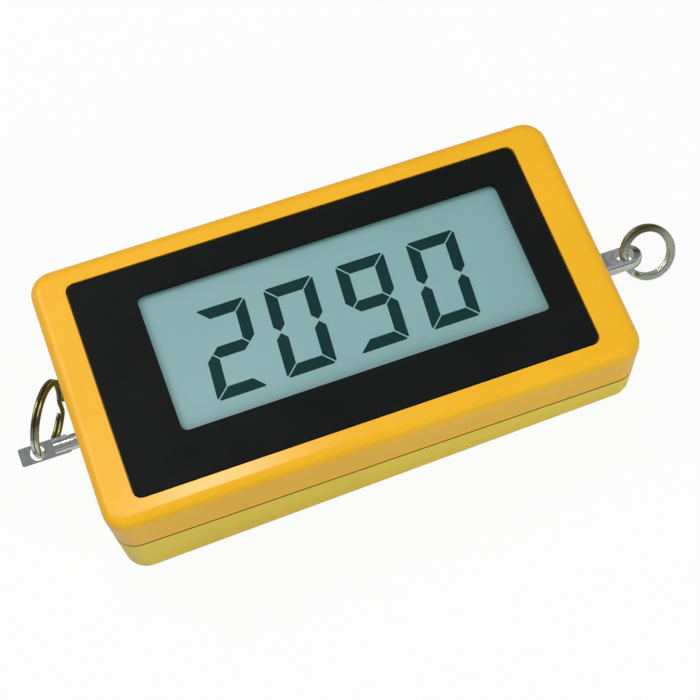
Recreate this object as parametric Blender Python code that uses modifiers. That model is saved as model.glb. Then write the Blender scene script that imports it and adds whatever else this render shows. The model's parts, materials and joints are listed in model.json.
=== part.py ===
"""Digital tension calibrator for a racket stringing machine.

A two-shell plastic case holds a liquid crystal display, a circuit board and an S-shaped load
cell. A rod leaves each end of the load cell through the case and carries a split ring.

World frame: +Z up, origin on the flat underside below the middle of the panel, +X along the
length, +Y away from the reader. The face leans by the taper of the rear shell, so the pieces
that follow the face hang on the empty face_frame, whose origin is the middle of the panel. The
end walls stand upright on the base and so slant in that frame.
"""

import math

import bmesh
import bpy
from mathutils import Euler, Matrix, Vector

# Driving dimensions, in metres and degrees

CLEARANCE = 0.0003
OVERRUN = 0.001
MERGE_DISTANCE = 0.00001

CASE_LENGTH = 0.1040
CASE_DEPTH = 0.0531
CASE_SHIFT = 0.0005
CASE_CORNER = 0.0045
CASE_WALL = 0.002
CASE_FLOOR = 0.002
PARTING_GAP = 0.0005
UPPER_HEIGHT = 0.0119
LOWER_LEFT = 0.0161
LOWER_RIGHT = 0.0088
TOP_ROUND = 0.0022
BASE_ROUND = 0.0012
CASE_CEILING = 0.00315
LIP_WALL = 0.0009
LIP_HEIGHT = 0.0012

PANEL_MARGIN_X = 0.0072
PANEL_MARGIN_Y = 0.0047
BEZEL_CORNER = 0.0014
BEZEL_THICKNESS = 0.0012
BEZEL_SINK = 0.0001
PANEL_LEFT = 0.0117
PANEL_RIGHT = 0.0059
PANEL_NEAR = 0.0092
PANEL_FAR = 0.0062
WINDOW_CORNER = 0.0012
LENS_SINK = 0.0001

GLASS_MARGIN = 0.0012
GLASS_THICKNESS = 0.0022
DIGIT_HEIGHT = 0.0184
DIGIT_WIDTH = 0.00975
FIRST_DIGIT_PITCH = 0.0134
DIGIT_PITCH = 0.0143
DIGIT_SLANT = 4.8
DIGIT_CORNER = 0.0006
SEGMENT_WIDTH = 0.0023
SEGMENT_GAP = 0.00024
SEGMENT_DEPTH = 0.00025
READING_SHIFT_X = -0.0015
READING_SHIFT_Y = -0.0011
READING = (2, 0, 9, 0)

REFLECTOR_THICKNESS = 0.0004
REFLECTOR_MARGIN = 0.0033
FRAME_WALL = 0.0010
FRAME_HEIGHT = 0.00345
FRAME_SHELF = 0.0020
FRAME_SHELF_THICKNESS = 0.0008
ZEBRA_WIDTH = 0.0016
ZEBRA_MARGIN = 0.0030

BOARD_END_GAP = 0.0087
BOARD_NEAR_GAP = 0.00425
BOARD_FAR_GAP = 0.00185
BOARD_THICKNESS = 0.0016
POST_RADIUS = 0.0018
POST_INSET_LEFT = 0.0032
POST_INSET_RIGHT = 0.0053
POST_INSET_NEAR = 0.0026
POST_INSET_FAR = 0.0023
BOARD_SCREW_SHANK = 0.0009
BOARD_SCREW_HEAD = 0.0018
BOARD_SCREW_HEAD_HEIGHT = 0.0012
BOARD_SCREW_LENGTH = 0.0042

BOSS_RADIUS = 0.0027
BOSS_ROOT = 0.0005
BORE_SPARE = 0.0010
BOSS_INSET_X = 0.0070
BOSS_INSET_Y = 0.00685
CASE_SCREW_BITE = 0.0050
CASE_SCREW_SHANK = 0.0009
CASE_SCREW_HEAD = 0.0017
CASE_SCREW_HEAD_HEIGHT = 0.0014
CASE_SCREW_GRIP = 0.0045
CROSS_WIDTH = 0.0006
CROSS_DEPTH = 0.0006

ROD_LINE_Y = -0.0019
ROD_LINE_DROP = 0.0153
ROD_RADIUS = 0.0015
BEAM_WELL_GAP = 0.0022
BEAM_LENGTH = 0.0380
BEAM_DEPTH = 0.0260
BEAM_THICKNESS = 0.0080
BEAM_ARM = 0.0060
BEAM_BRIDGE = 0.0055
BEAM_SLOT = 0.0024
BEAM_SLOT_OVERRUN = 0.0005
BEAM_EYE_RADIUS = 0.0040
BEAM_EYE_SPREAD = 0.0043
BEAM_TAP_DEPTH = 0.0044
GAUGE_LENGTH = 0.0050
GAUGE_WIDTH = 0.0024
GAUGE_THICKNESS = 0.0003
BEAM_SCREW_SHANK = 0.0012
BEAM_SCREW_HEAD = 0.0022
BEAM_SCREW_HEAD_HEIGHT = 0.0018
BEAM_SCREW_SPREAD = 0.0085
BEAM_SCREW_BITE = 0.0040
BEAM_SCREW_GRIP = 0.0025
BEAM_BOSS_RADIUS = 0.0034
NUT_RADIUS = 0.0031
NUT_HEIGHT = 0.0020

BUSH_WALL = 0.0007
BUSH_FLANGE_RADIUS = 0.0035
LEFT_FLANGE_THICKNESS = 0.0010
RIGHT_FLANGE_THICKNESS = 0.0025

LEFT_ROD_REACH = 0.0122
LEFT_TAB_LENGTH = 0.0066
LEFT_TAB_THICKNESS = 0.0010
LEFT_TAB_EDGE = 0.0003
LEFT_TAB_CORNER = 0.0004
LEFT_TAB_ROLL = 20.0
LEFT_HOLE_INSET = 0.0034
LEFT_RING_DIAMETER = 0.0153
LEFT_RING_WIDTH = 0.0011
LEFT_RING_START = 225.0
LEFT_RING_TURN = 56.0
LEFT_RING_LIFT = 19.8
LEFT_RING_LEAN = -16.8

RIGHT_ROD_REACH = 0.0115
RIGHT_SHANK_RADIUS = 0.0025
RIGHT_SHANK_INSIDE = 0.0060
RIGHT_END_ROUND = 0.0024
RIGHT_EYE_LENGTH = 0.0074
RIGHT_EYE_THICKNESS = 0.0025
RIGHT_EYE_RUNOUT = 0.0010
RIGHT_ROLL = -21.0
RIGHT_HOLE_INSET = 0.0036
RIGHT_RING_DIAMETER = 0.0114
RIGHT_RING_WIDTH = 0.0013
RIGHT_RING_START = 315.0
RIGHT_RING_TURN = -3.0
RIGHT_RING_LIFT = 0.0
RIGHT_RING_LEAN = -30.0

RING_WIRE_HEIGHT = 0.00055
RING_WIRE_GAP = 0.00044
RING_HOLE_CLEARANCE = 0.0002
RING_RAMP_ANGLE = 18.0
RING_POINTS_A_TURN = 24
RING_TURNS = 2
SECTION_POINTS = 8

WELL_INSET = 0.0181
CELL_RADIUS = 0.0100
CELL_HEIGHT = 0.0032
WELL_ROOF = 0.0012
WELL_RIM = 0.0012
COVER_LOW = 0.0001
COVER_THICKNESS = 0.0012
COVER_CUP_WALL = 0.0008
COVER_CUP_HEIGHT = 0.0029
COVER_FLANGE = 0.0017
COVER_SLOT_LENGTH = 0.0120
COVER_SLOT_WIDTH = 0.0018
COVER_SLOT_DEPTH = 0.0006
LUG_COUNT = 3
LUG_REACH = 0.0008
LUG_ROOT = 0.0004
LUG_LENGTH = 0.0030
LUG_THICKNESS = 0.0008
LUG_DROP = 0.0002
LUG_ENTRY_TURN = -55.0
SEAL_WIDTH = 0.0011
SEAL_THICKNESS = 0.0005
CONTACT_THICKNESS = 0.0003
CENTRE_CONTACT_LENGTH = 0.0080
CENTRE_CONTACT_WIDTH = 0.0030
RIM_CONTACT_LENGTH = 0.0030
RIM_CONTACT_WIDTH = 0.0090
RIM_CONTACT_REACH = 0.0080

BUTTON_LENGTH = 0.0070
BUTTON_HEIGHT = 0.0024
BUTTON_PROUD = 0.0008
BUTTON_FLANGE = 0.0007
BUTTON_FLANGE_THICKNESS = 0.0008
BUTTON_DROP = 0.0053
BUTTON_TRAVEL = 0.0005
POWER_BUTTON_X = -0.0140
UNIT_BUTTON_X = 0.0100
SWITCH_LENGTH = 0.0060
SWITCH_DEPTH = 0.0028
SWITCH_HEIGHT = 0.0032
PLUNGER_RADIUS = 0.0007
PLUNGER_LENGTH = 0.0006

CONTROLLER_SIZE = 0.0100
CONVERTER_LENGTH = 0.0062
CONVERTER_DEPTH = 0.0050
CHIP_HEIGHT = 0.0013
CRYSTAL_RADIUS = 0.0008
CRYSTAL_LENGTH = 0.0060
CAPACITOR_LENGTH = 0.0020
CAPACITOR_DEPTH = 0.0013
CAPACITOR_HEIGHT = 0.0010
CAPACITOR_COUNT = 2
RESISTOR_LENGTH = 0.0016
RESISTOR_DEPTH = 0.0008
RESISTOR_HEIGHT = 0.0006
RESISTOR_COUNT = 2
PART_PITCH = 0.0030
PART_ROW_INSET = 0.0032
CAPACITOR_X = -0.0140
RESISTOR_X = 0.0080
CHIP_ROW_INSET = 0.0127
CONTROLLER_PAST_BEAM = 0.0110
CRYSTAL_PAST_BEAM = 0.0230
CONVERTER_BEFORE_BEAM = 0.0070
CONVERTER_Y = 0.0020
LOAD_SOCKET_BEFORE_BEAM = 0.0100
LOAD_SOCKET_INSET = 0.0093
BATTERY_SOCKET_PAST_WELL = 0.0065
BATTERY_SOCKET_INSET = 0.0087
SOCKET_LENGTH = 0.0040
SOCKET_DEPTH = 0.0060
SOCKET_HEIGHT = 0.0030
BATTERY_LEAD_RADIUS = 0.0005
CELL_LEAD_RADIUS = 0.0008
BATTERY_LEAD_START_Y = 0.0070
LEAD_SPREAD = 0.0030
LEAD_BEND = 0.0030
LEAD_POINTS = 12

SMALL_STEPS = 16
ROUND_STEPS = 24
FINE_STEPS = 40
CORNER_STEPS = 8
ROUND_EDGE_STEPS = 5
DOME_STEPS = 4
NUT_SIDES = 6

# Sizes that follow from the driving dimensions

WEDGE = math.atan((LOWER_LEFT - LOWER_RIGHT) / CASE_LENGTH)
MID_HEIGHT = UPPER_HEIGHT + (LOWER_LEFT + LOWER_RIGHT) / 2
REAR_WALL = CASE_WALL + CLEARANCE + LIP_WALL
CASE_LEFT = CASE_SHIFT - CASE_LENGTH / 2
CASE_RIGHT = CASE_SHIFT + CASE_LENGTH / 2
LEFT_WALL = CASE_LEFT + ROD_LINE_DROP * math.tan(WEDGE)
RIGHT_WALL = CASE_RIGHT + ROD_LINE_DROP * math.tan(WEDGE)
PARTING = -UPPER_HEIGHT - PARTING_GAP

BEZEL_LENGTH = CASE_LENGTH - 2 * PANEL_MARGIN_X
BEZEL_DEPTH = CASE_DEPTH - 2 * PANEL_MARGIN_Y
WINDOW_LEFT = -BEZEL_LENGTH / 2 + PANEL_LEFT
WINDOW_RIGHT = BEZEL_LENGTH / 2 - PANEL_RIGHT
WINDOW_NEAR = -BEZEL_DEPTH / 2 + PANEL_NEAR
WINDOW_FAR = BEZEL_DEPTH / 2 - PANEL_FAR
READING_MIDDLE_X = (WINDOW_LEFT + WINDOW_RIGHT) / 2 + READING_SHIFT_X
READING_MIDDLE_Y = (WINDOW_NEAR + WINDOW_FAR) / 2 + READING_SHIFT_Y

BEZEL_TOP = -BEZEL_SINK
BEZEL_LOW = BEZEL_TOP - BEZEL_THICKNESS
GLASS_TOP = BEZEL_LOW - CLEARANCE
GLASS_LOW = GLASS_TOP - GLASS_THICKNESS
REFLECTOR_TOP = GLASS_LOW - CLEARANCE
REFLECTOR_LOW = REFLECTOR_TOP - REFLECTOR_THICKNESS
FRAME_TOP = -CASE_CEILING - CLEARANCE
FRAME_LOW = FRAME_TOP - FRAME_HEIGHT
BOARD_TOP = FRAME_LOW - CLEARANCE
BOARD_LOW = BOARD_TOP - BOARD_THICKNESS
PART_TOP = BOARD_LOW - CLEARANCE

BOARD_LENGTH = CASE_LENGTH - 2 * CASE_WALL - 2 * BOARD_END_GAP
BOARD_NEAR = -CASE_DEPTH / 2 + CASE_WALL + BOARD_NEAR_GAP
BOARD_FAR = CASE_DEPTH / 2 - CASE_WALL - BOARD_FAR_GAP
POST_LEFT = -BOARD_LENGTH / 2 + POST_INSET_LEFT
POST_RIGHT = BOARD_LENGTH / 2 - POST_INSET_RIGHT
POST_NEAR = BOARD_NEAR + POST_INSET_NEAR
POST_FAR = BOARD_FAR - POST_INSET_FAR
BOSS_Y = CASE_DEPTH / 2 - BOSS_INSET_Y

RING_AXIAL = RING_TURNS * RING_WIRE_HEIGHT + RING_WIRE_GAP
CUP_INNER = CELL_RADIUS + CLEARANCE
CUP_OUTER = CUP_INNER + COVER_CUP_WALL
WELL_RADIUS = CUP_OUTER + CLEARANCE
COVER_RADIUS = CUP_OUTER + COVER_FLANGE
RECESS_RADIUS = COVER_RADIUS + CLEARANCE
WELL_OUTER = RECESS_RADIUS + WELL_RIM
WELL_X = CASE_LEFT + WELL_INSET
CUP_FLOOR = COVER_LOW + COVER_THICKNESS
CUP_TOP = CUP_FLOOR + COVER_CUP_HEIGHT
SEAL_LOW = CUP_FLOOR + CLEARANCE
RECESS_DEPTH = SEAL_LOW + SEAL_THICKNESS + CLEARANCE
CELL_LOW = CUP_FLOOR + CLEARANCE
CELL_TOP = CELL_LOW + CELL_HEIGHT
CONTACT_LOW = CELL_TOP + CLEARANCE
LUG_TIP = CUP_OUTER + LUG_REACH
LUG_TOP = CUP_TOP - LUG_DROP
LUG_LOW = LUG_TOP - LUG_THICKNESS
WELL_CEILING = CONTACT_LOW + CONTACT_THICKNESS + CLEARANCE
WELL_TOP = WELL_CEILING + WELL_ROOF

ROD_LEVEL = -ROD_LINE_DROP
BEAM_LEFT = WELL_X + WELL_OUTER + BEAM_WELL_GAP
BEAM_MIDDLE = BEAM_LEFT + BEAM_LENGTH / 2
BEAM_RIGHT = BEAM_LEFT + BEAM_LENGTH
BEAM_LOW = ROD_LEVEL - BEAM_THICKNESS / 2
ROD_BORE = ROD_RADIUS + CLEARANCE

for leftover in list(bpy.data.objects):
    bpy.data.objects.remove(leftover)

parts = bpy.data.collections.new("tension_calibrator")
cutters = bpy.data.collections.new("cutters")
bpy.context.scene.collection.children.link(parts)
bpy.context.scene.collection.children.link(cutters)


# Materials

def plastic(name, colour, roughness, metallic=0.0):
    """Return a Principled material of one colour."""
    material = bpy.data.materials.new(name)
    material.use_nodes = True
    shader = material.node_tree.nodes["Principled BSDF"]
    shader.inputs["Base Color"].default_value = (*colour, 1.0)
    shader.inputs["Roughness"].default_value = roughness
    shader.inputs["Metallic"].default_value = metallic
    return material


CASE_YELLOW = plastic("case_yellow", (0.90, 0.46, 0.03), 0.35)
PANEL_BLACK = plastic("panel_black", (0.012, 0.013, 0.016), 0.4)
CLEAR_LENS = plastic("clear_lens", (0.85, 0.9, 0.9), 0.05)
DISPLAY_TEAL = plastic("display_teal", (0.24, 0.42, 0.43), 0.3)
SILVER_FILM = plastic("silver_film", (0.75, 0.75, 0.74), 0.3, 1.0)
WHITE_PLASTIC = plastic("white_plastic", (0.8, 0.8, 0.77), 0.5)
SOFT_BLACK = plastic("soft_black", (0.02, 0.02, 0.02), 0.8)
BOARD_GREEN = plastic("board_green", (0.02, 0.16, 0.06), 0.5)
CHIP_BLACK = plastic("chip_black", (0.02, 0.02, 0.022), 0.6)
TIN = plastic("tin", (0.7, 0.7, 0.68), 0.3, 1.0)
CERAMIC = plastic("ceramic", (0.45, 0.33, 0.2), 0.5)
CHROME = plastic("chrome", (0.75, 0.76, 0.78), 0.12, 1.0)
STEEL = plastic("steel", (0.55, 0.55, 0.56), 0.3, 1.0)
ALUMINIUM = plastic("aluminium", (0.72, 0.73, 0.75), 0.35, 1.0)
BRASS = plastic("brass", (0.75, 0.55, 0.22), 0.3, 1.0)
NYLON = plastic("nylon", (0.78, 0.77, 0.7), 0.5)
GAUGE_FOIL = plastic("gauge_foil", (0.75, 0.42, 0.12), 0.4)
LEAD_GREY = plastic("lead_grey", (0.25, 0.25, 0.27), 0.6)
LEAD_RED = plastic("lead_red", (0.6, 0.03, 0.02), 0.5)
BUTTON_BLACK = plastic("button_black", (0.03, 0.03, 0.033), 0.55)


# Frames and objects

def empty(name, location, rotation=(0.0, 0.0, 0.0), parent=None):
    """Return an empty that other objects hang on."""
    guide = bpy.data.objects.new(name, None)
    bpy.context.scene.collection.objects.link(guide)
    guide.location = location
    guide.rotation_euler = rotation
    guide.parent = parent
    return guide


face_frame = empty(
    "face_frame",
    (MID_HEIGHT * math.sin(WEDGE), 0.0, MID_HEIGHT * math.cos(WEDGE)),
    (0.0, WEDGE, 0.0),
)


def place(name, data, material, location, rotation, parent):
    """Put mesh or curve data in the parts collection, or in the cutters when it has no material."""
    piece = bpy.data.objects.new(name, data)
    piece.location = location
    piece.rotation_euler = rotation
    piece.parent = parent
    if material:
        data.materials.append(material)
        parts.objects.link(piece)
    else:
        cutters.objects.link(piece)
        piece.hide_render = True
        piece.display_type = "WIRE"
    return piece


def mesh_from(name, build):
    """Return a mesh from a bmesh, with its faces turned outwards."""
    bmesh.ops.recalc_face_normals(build, faces=build.faces)
    mesh = bpy.data.meshes.new(name)
    build.to_mesh(mesh)
    build.free()
    return mesh


def edges_at(build, test):
    """Return the edges whose two ends both pass a test."""
    return [edge for edge in build.edges if all(test(vert.co) for vert in edge.verts)]


def bevel(build, edges, width, steps):
    """Round some edges of a bmesh."""
    bmesh.ops.bevel(
        build, geom=edges, offset=width, offset_type="OFFSET", segments=steps, profile=0.5,
        affect="EDGES", clamp_overlap=True,
    )


def block(name, size, location, material=None, parent=None, rotation=(0.0, 0.0, 0.0), corner=0.0,
          corner_steps=3):
    """Return a box with its middle at location and its upright edges rounded."""
    build = bmesh.new()
    bmesh.ops.create_cube(build, size=1.0)
    bmesh.ops.scale(build, vec=size, verts=build.verts)
    if corner:
        upright = [edge for edge in build.edges if edge.verts[0].co.xy == edge.verts[1].co.xy]
        bevel(build, upright, corner, corner_steps)
    return place(name, mesh_from(name, build), material, location, rotation, parent)


def block_between(name, low, high, material=None, parent=None, corner=0.0, corner_steps=3):
    """Return a box between two opposite corners."""
    size = [top - bottom for bottom, top in zip(low, high)]
    middle = [(top + bottom) / 2 for bottom, top in zip(low, high)]
    return block(name, size, middle, material, parent, corner=corner, corner_steps=corner_steps)


def cylinder(name, radius, length, location, material=None, parent=None, rotation=(0.0, 0.0, 0.0),
             steps=ROUND_STEPS):
    """Return a closed cylinder along its own Z with its middle at location."""
    build = bmesh.new()
    bmesh.ops.create_cone(
        build, cap_ends=True, segments=steps, radius1=radius, radius2=radius, depth=length
    )
    return place(name, mesh_from(name, build), material, location, rotation, parent)


def peg(name, radius, low, high, spot, material=None, parent=None, steps=ROUND_STEPS):
    """Return an upright cylinder between two levels at a spot in plan."""
    middle = (spot[0], spot[1], (low + high) / 2)
    return cylinder(name, radius, high - low, middle, material, parent, steps=steps)


def turned(name, profile, location, material=None, parent=None, rotation=(0.0, 0.0, 0.0),
           closed=False, steps=ROUND_STEPS):
    """Return a solid of revolution about its own Z from (radius, level) points, top first."""
    build = bmesh.new()
    points = [build.verts.new((radius, 0.0, level)) for radius, level in profile]
    for first, second in zip(points, points[1:]):
        build.edges.new((first, second))
    if closed:
        build.edges.new((points[-1], points[0]))
    mesh = bpy.data.meshes.new(name)
    build.to_mesh(mesh)
    build.free()
    piece = place(name, mesh, material, location, rotation, parent)
    screw = piece.modifiers.new("turn", "SCREW")
    screw.steps = steps
    screw.render_steps = steps
    screw.use_merge_vertices = True
    screw.merge_threshold = MERGE_DISTANCE
    return piece


def boolean(piece, other, operation):
    """Cut another object out of a piece, or join it on."""
    modifier = piece.modifiers.new(other.name, "BOOLEAN")
    modifier.operation = operation
    modifier.object = other
    modifier.solver = "EXACT"


def cut(piece, *others):
    """Take each of the others out of a piece."""
    for other in others:
        boolean(piece, other, "DIFFERENCE")


def join(piece, *others):
    """Add each of the others to a piece."""
    for other in others:
        boolean(piece, other, "UNION")


def shade(piece, angle=30.0):
    """Shade a round piece smooth except over its sharp edges."""
    if piece.type == "MESH":
        piece.data.shade_smooth()
        piece.data.set_sharp_from_angle(angle=math.radians(angle))


ALONG_X = (0.0, math.pi / 2, 0.0)


def low_level(x):
    """Return the level of the flat underside at a place along the face frame's X."""
    return -MID_HEIGHT + x * math.tan(WEDGE)


# Case

def wedge_block(name, inset, top, rise, material=None, corner=CASE_CORNER, base_round=0.0,
                top_round=0.0):
    """Return a block of the case's outline whose underside follows the taper, raised by rise."""
    half_depth = CASE_DEPTH / 2 - inset
    build = bmesh.new()
    bmesh.ops.create_cube(build, size=1.0)
    for vert in build.verts:
        vert.co.x = CASE_RIGHT - inset if vert.co.x > 0 else CASE_LEFT + inset
        vert.co.y = math.copysign(half_depth, vert.co.y)
        vert.co.z = top if vert.co.z > 0 else low_level(vert.co.x) * math.cos(WEDGE) ** 2 + rise
    upright = [edge for edge in build.edges if edge.verts[0].co.xy == edge.verts[1].co.xy]
    bevel(build, upright, corner, CORNER_STEPS)
    middle = (top + low_level(0.0) + rise) / 2
    if base_round:
        bevel(build, edges_at(build, lambda spot: spot.z < middle), base_round, ROUND_EDGE_STEPS)
    if top_round:
        bevel(build, edges_at(build, lambda spot: spot.z > middle), top_round, ROUND_EDGE_STEPS)
    square_to_base(build, 0.0)
    return place(name, mesh_from(name, build), material, (0, 0, 0), (0, 0, 0), face_frame)


def square_to_base(build, level):
    """Slant the end walls of a block at a level of the face frame, so they stand on the base."""
    for vert in build.verts:
        vert.co.x -= (vert.co.z + level) * math.tan(WEDGE)


def face_block(name, inset, low, high, material=None, corner=CASE_CORNER, top_round=0.0):
    """Return a flat block of the case's outline between two levels."""
    build = bmesh.new()
    bmesh.ops.create_cube(build, size=1.0)
    size = (CASE_LENGTH - 2 * inset, CASE_DEPTH - 2 * inset, high - low)
    bmesh.ops.scale(build, vec=size, verts=build.verts)
    upright = [edge for edge in build.edges if edge.verts[0].co.xy == edge.verts[1].co.xy]
    bevel(build, upright, corner, CORNER_STEPS)
    if top_round:
        bevel(build, edges_at(build, lambda spot: spot.z > 0.0), top_round, ROUND_EDGE_STEPS)
    middle = (CASE_SHIFT, 0.0, (low + high) / 2)
    square_to_base(build, middle[2])
    return place(name, mesh_from(name, build), material, middle, (0, 0, 0), face_frame)


def corners_of(x_values, y_values):
    """Return every pair of one place along X with one along Y."""
    return [(x, y) for x in x_values for y in y_values]


BOSS_SPOTS = corners_of((CASE_LEFT + BOSS_INSET_X, CASE_RIGHT - BOSS_INSET_X), (-BOSS_Y, BOSS_Y))
POST_SPOTS = corners_of((POST_LEFT, POST_RIGHT), (POST_NEAR, POST_FAR))
BUTTONS = {"power_button": POWER_BUTTON_X, "unit_button": UNIT_BUTTON_X}
SEAT_LEVEL = PARTING - CASE_SCREW_GRIP
CASE_SCREW_TIP = -UPPER_HEIGHT + CASE_SCREW_BITE


def window_box(name, margin, low, high, material=None, corner=WINDOW_CORNER):
    """Return a block round the display window, wider by a margin."""
    return block_between(
        name,
        (WINDOW_LEFT - margin, WINDOW_NEAR - margin, low),
        (WINDOW_RIGHT + margin, WINDOW_FAR + margin, high),
        material, face_frame, corner=corner,
    )


def make_front_shell():
    """Upper half of the case, with the panel recess, bosses, posts and button slots."""
    shell = face_block("front_shell", 0.0, -UPPER_HEIGHT, 0.0, CASE_YELLOW, top_round=TOP_ROUND)
    cavity = face_block(
        "front_cavity", CASE_WALL, -UPPER_HEIGHT - OVERRUN, -CASE_CEILING,
        corner=CASE_CORNER - CASE_WALL,
    )
    recess = block_between(
        "panel_recess",
        (-BEZEL_LENGTH / 2 - CLEARANCE, -BEZEL_DEPTH / 2 - CLEARANCE, BEZEL_LOW - CLEARANCE),
        (BEZEL_LENGTH / 2 + CLEARANCE, BEZEL_DEPTH / 2 + CLEARANCE, OVERRUN),
        parent=face_frame, corner=BEZEL_CORNER + CLEARANCE,
    )
    cut(shell, cavity, recess)
    opening = window_box("glass_opening", GLASS_MARGIN + CLEARANCE, -CASE_CEILING - OVERRUN, 0.0,
                         corner=0.0)
    cut(shell, opening)
    for number, spot in enumerate(BOSS_SPOTS):
        boss = peg(f"front_boss_{number}", BOSS_RADIUS, -UPPER_HEIGHT,
                   -CASE_CEILING + BOSS_ROOT, spot, parent=face_frame)
        join(shell, boss)
        bore = peg(f"front_bore_{number}", CASE_SCREW_SHANK + CLEARANCE,
                   -UPPER_HEIGHT - OVERRUN, CASE_SCREW_TIP + BORE_SPARE, spot,
                   parent=face_frame, steps=SMALL_STEPS)
        cut(shell, bore)
    for number, spot in enumerate(POST_SPOTS):
        post = peg(f"board_post_{number}", POST_RADIUS, BOARD_TOP + CLEARANCE,
                   -CASE_CEILING + BOSS_ROOT, spot, parent=face_frame, steps=SMALL_STEPS)
        join(shell, post)
        bore = peg(f"post_bore_{number}", BOARD_SCREW_SHANK + CLEARANCE, BOARD_TOP - OVERRUN,
                   SCREW_TIP + CLEARANCE, spot, parent=face_frame, steps=SMALL_STEPS)
        cut(shell, bore)
    for name, x in BUTTONS.items():
        slot = block(
            f"{name}_slot",
            (BUTTON_LENGTH + 2 * CLEARANCE, 2 * CASE_WALL + 2 * OVERRUN,
             BUTTON_HEIGHT + 2 * CLEARANCE),
            (x, CASE_DEPTH / 2, -BUTTON_DROP), parent=face_frame,
        )
        cut(shell, slot)
    shade(shell)
    return shell


SCREW_SEAT = BOARD_LOW - CLEARANCE
SCREW_TIP = SCREW_SEAT + BOARD_SCREW_LENGTH


def make_rear_shell():
    """Lower half of the case, with its lip, screw bosses, rod holes and battery well."""
    shell = wedge_block("rear_shell", 0.0, PARTING, 0.0, CASE_YELLOW, base_round=BASE_ROUND)
    lip = face_block(
        "lip", CASE_WALL + CLEARANCE, PARTING - LIP_HEIGHT, PARTING + LIP_HEIGHT,
        corner=CASE_CORNER - CASE_WALL - CLEARANCE,
    )
    join(shell, lip)
    cavity = wedge_block(
        "rear_cavity", REAR_WALL, PARTING + LIP_HEIGHT + OVERRUN, CASE_FLOOR,
        corner=CASE_CORNER - REAR_WALL,
    )
    cut(shell, cavity)
    for number, spot in enumerate(BOSS_SPOTS):
        add_screw_boss(shell, f"case_{number}", spot, BOSS_RADIUS, PARTING, SEAT_LEVEL,
                       CASE_SCREW_SHANK, CASE_SCREW_HEAD)
    for number, spot in enumerate(beam_screw_spots()):
        add_screw_boss(shell, f"beam_{number}", spot, BEAM_BOSS_RADIUS, BEAM_LOW - CLEARANCE,
                       BEAM_SEAT, BEAM_SCREW_SHANK, BEAM_SCREW_HEAD)
    for side, bush in BUSHES.items():
        hole = cylinder(
            f"{side}_rod_hole", bush["hole"], 2 * REAR_WALL + 2 * OVERRUN,
            (bush["wall"], ROD_LINE_Y, ROD_LEVEL), parent=face_frame, rotation=ALONG_X,
        )
        cut(shell, hole)
    add_battery_well(shell)
    shade(shell)
    return shell


BEAM_SEAT = BEAM_LOW - CLEARANCE - BEAM_SCREW_GRIP
BUSHES = {
    "left": {
        "wall": LEFT_WALL,
        "bore": ROD_BORE,
        "sleeve": ROD_BORE + BUSH_WALL,
        "hole": ROD_BORE + BUSH_WALL + CLEARANCE,
        "flange": LEFT_FLANGE_THICKNESS,
        "turn": math.pi / 2,
    },
    "right": {
        "wall": RIGHT_WALL,
        "bore": RIGHT_SHANK_RADIUS + CLEARANCE,
        "sleeve": None,
        "hole": RIGHT_SHANK_RADIUS + CLEARANCE,
        "flange": RIGHT_FLANGE_THICKNESS,
        "turn": -math.pi / 2,
    },
}


def beam_screw_spots():
    """Return where two screws hold the left arm of the load cell."""
    x = BEAM_LEFT + BEAM_ARM / 2
    return [(x, ROD_LINE_Y + way * BEAM_SCREW_SPREAD) for way in (-1, 1)]


def add_screw_boss(shell, label, spot, radius, top, seat, shank, head):
    """Add a boss from the floor to a level, with a screw hole and a deep head pocket."""
    floor = low_level(spot[0])
    boss = peg(f"{label}_boss", radius, floor + BOSS_ROOT, top, spot, parent=face_frame)
    join(shell, boss)
    bore = peg(f"{label}_bore", shank + CLEARANCE, floor - OVERRUN, top + OVERRUN, spot,
               parent=face_frame, steps=SMALL_STEPS)
    pocket = peg(f"{label}_pocket", head + CLEARANCE, floor - 2 * OVERRUN, seat, spot,
                 parent=face_frame)
    cut(shell, bore, pocket)


def add_battery_well(shell):
    """Add the round battery well, its cover recess, lug groove and lug entries."""
    spot = (WELL_X, 0.0)
    tower = peg("well_tower", WELL_OUTER, BOSS_ROOT, WELL_TOP, spot, steps=FINE_STEPS)
    join(shell, tower)
    recess = peg("cover_recess", RECESS_RADIUS, -OVERRUN, RECESS_DEPTH, spot, steps=FINE_STEPS)
    bore = peg("cell_bore", WELL_RADIUS, -2 * OVERRUN, WELL_CEILING, spot, steps=FINE_STEPS)
    groove = peg("lug_groove", LUG_TIP + CLEARANCE, LUG_LOW - CLEARANCE, LUG_TOP + CLEARANCE,
                 spot, steps=FINE_STEPS)
    cut(shell, recess, bore, groove)
    for number in range(LUG_COUNT):
        angle = lug_angle(number) + math.radians(LUG_ENTRY_TURN)
        entry = lug_block(f"lug_entry_{number}", angle, CLEARANCE, RECESS_DEPTH - OVERRUN,
                          LUG_TOP - LUG_THICKNESS / 2)
        cut(shell, entry)


def lug_block(name, angle, margin, low, high):
    """Return a block on the cover's rim, as long as a lug and wider by a margin."""
    inner = CUP_OUTER - LUG_ROOT
    outer = LUG_TIP + margin
    middle = (inner + outer) / 2
    return block(
        name, (outer - inner, LUG_LENGTH + 2 * margin, high - low),
        (WELL_X + middle * math.cos(angle), middle * math.sin(angle), (low + high) / 2),
        rotation=(0.0, 0.0, angle),
    )


def lug_angle(number):
    """Return the angle of one of the cover's lugs."""
    return 2 * math.pi * number / LUG_COUNT


# Display

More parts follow.
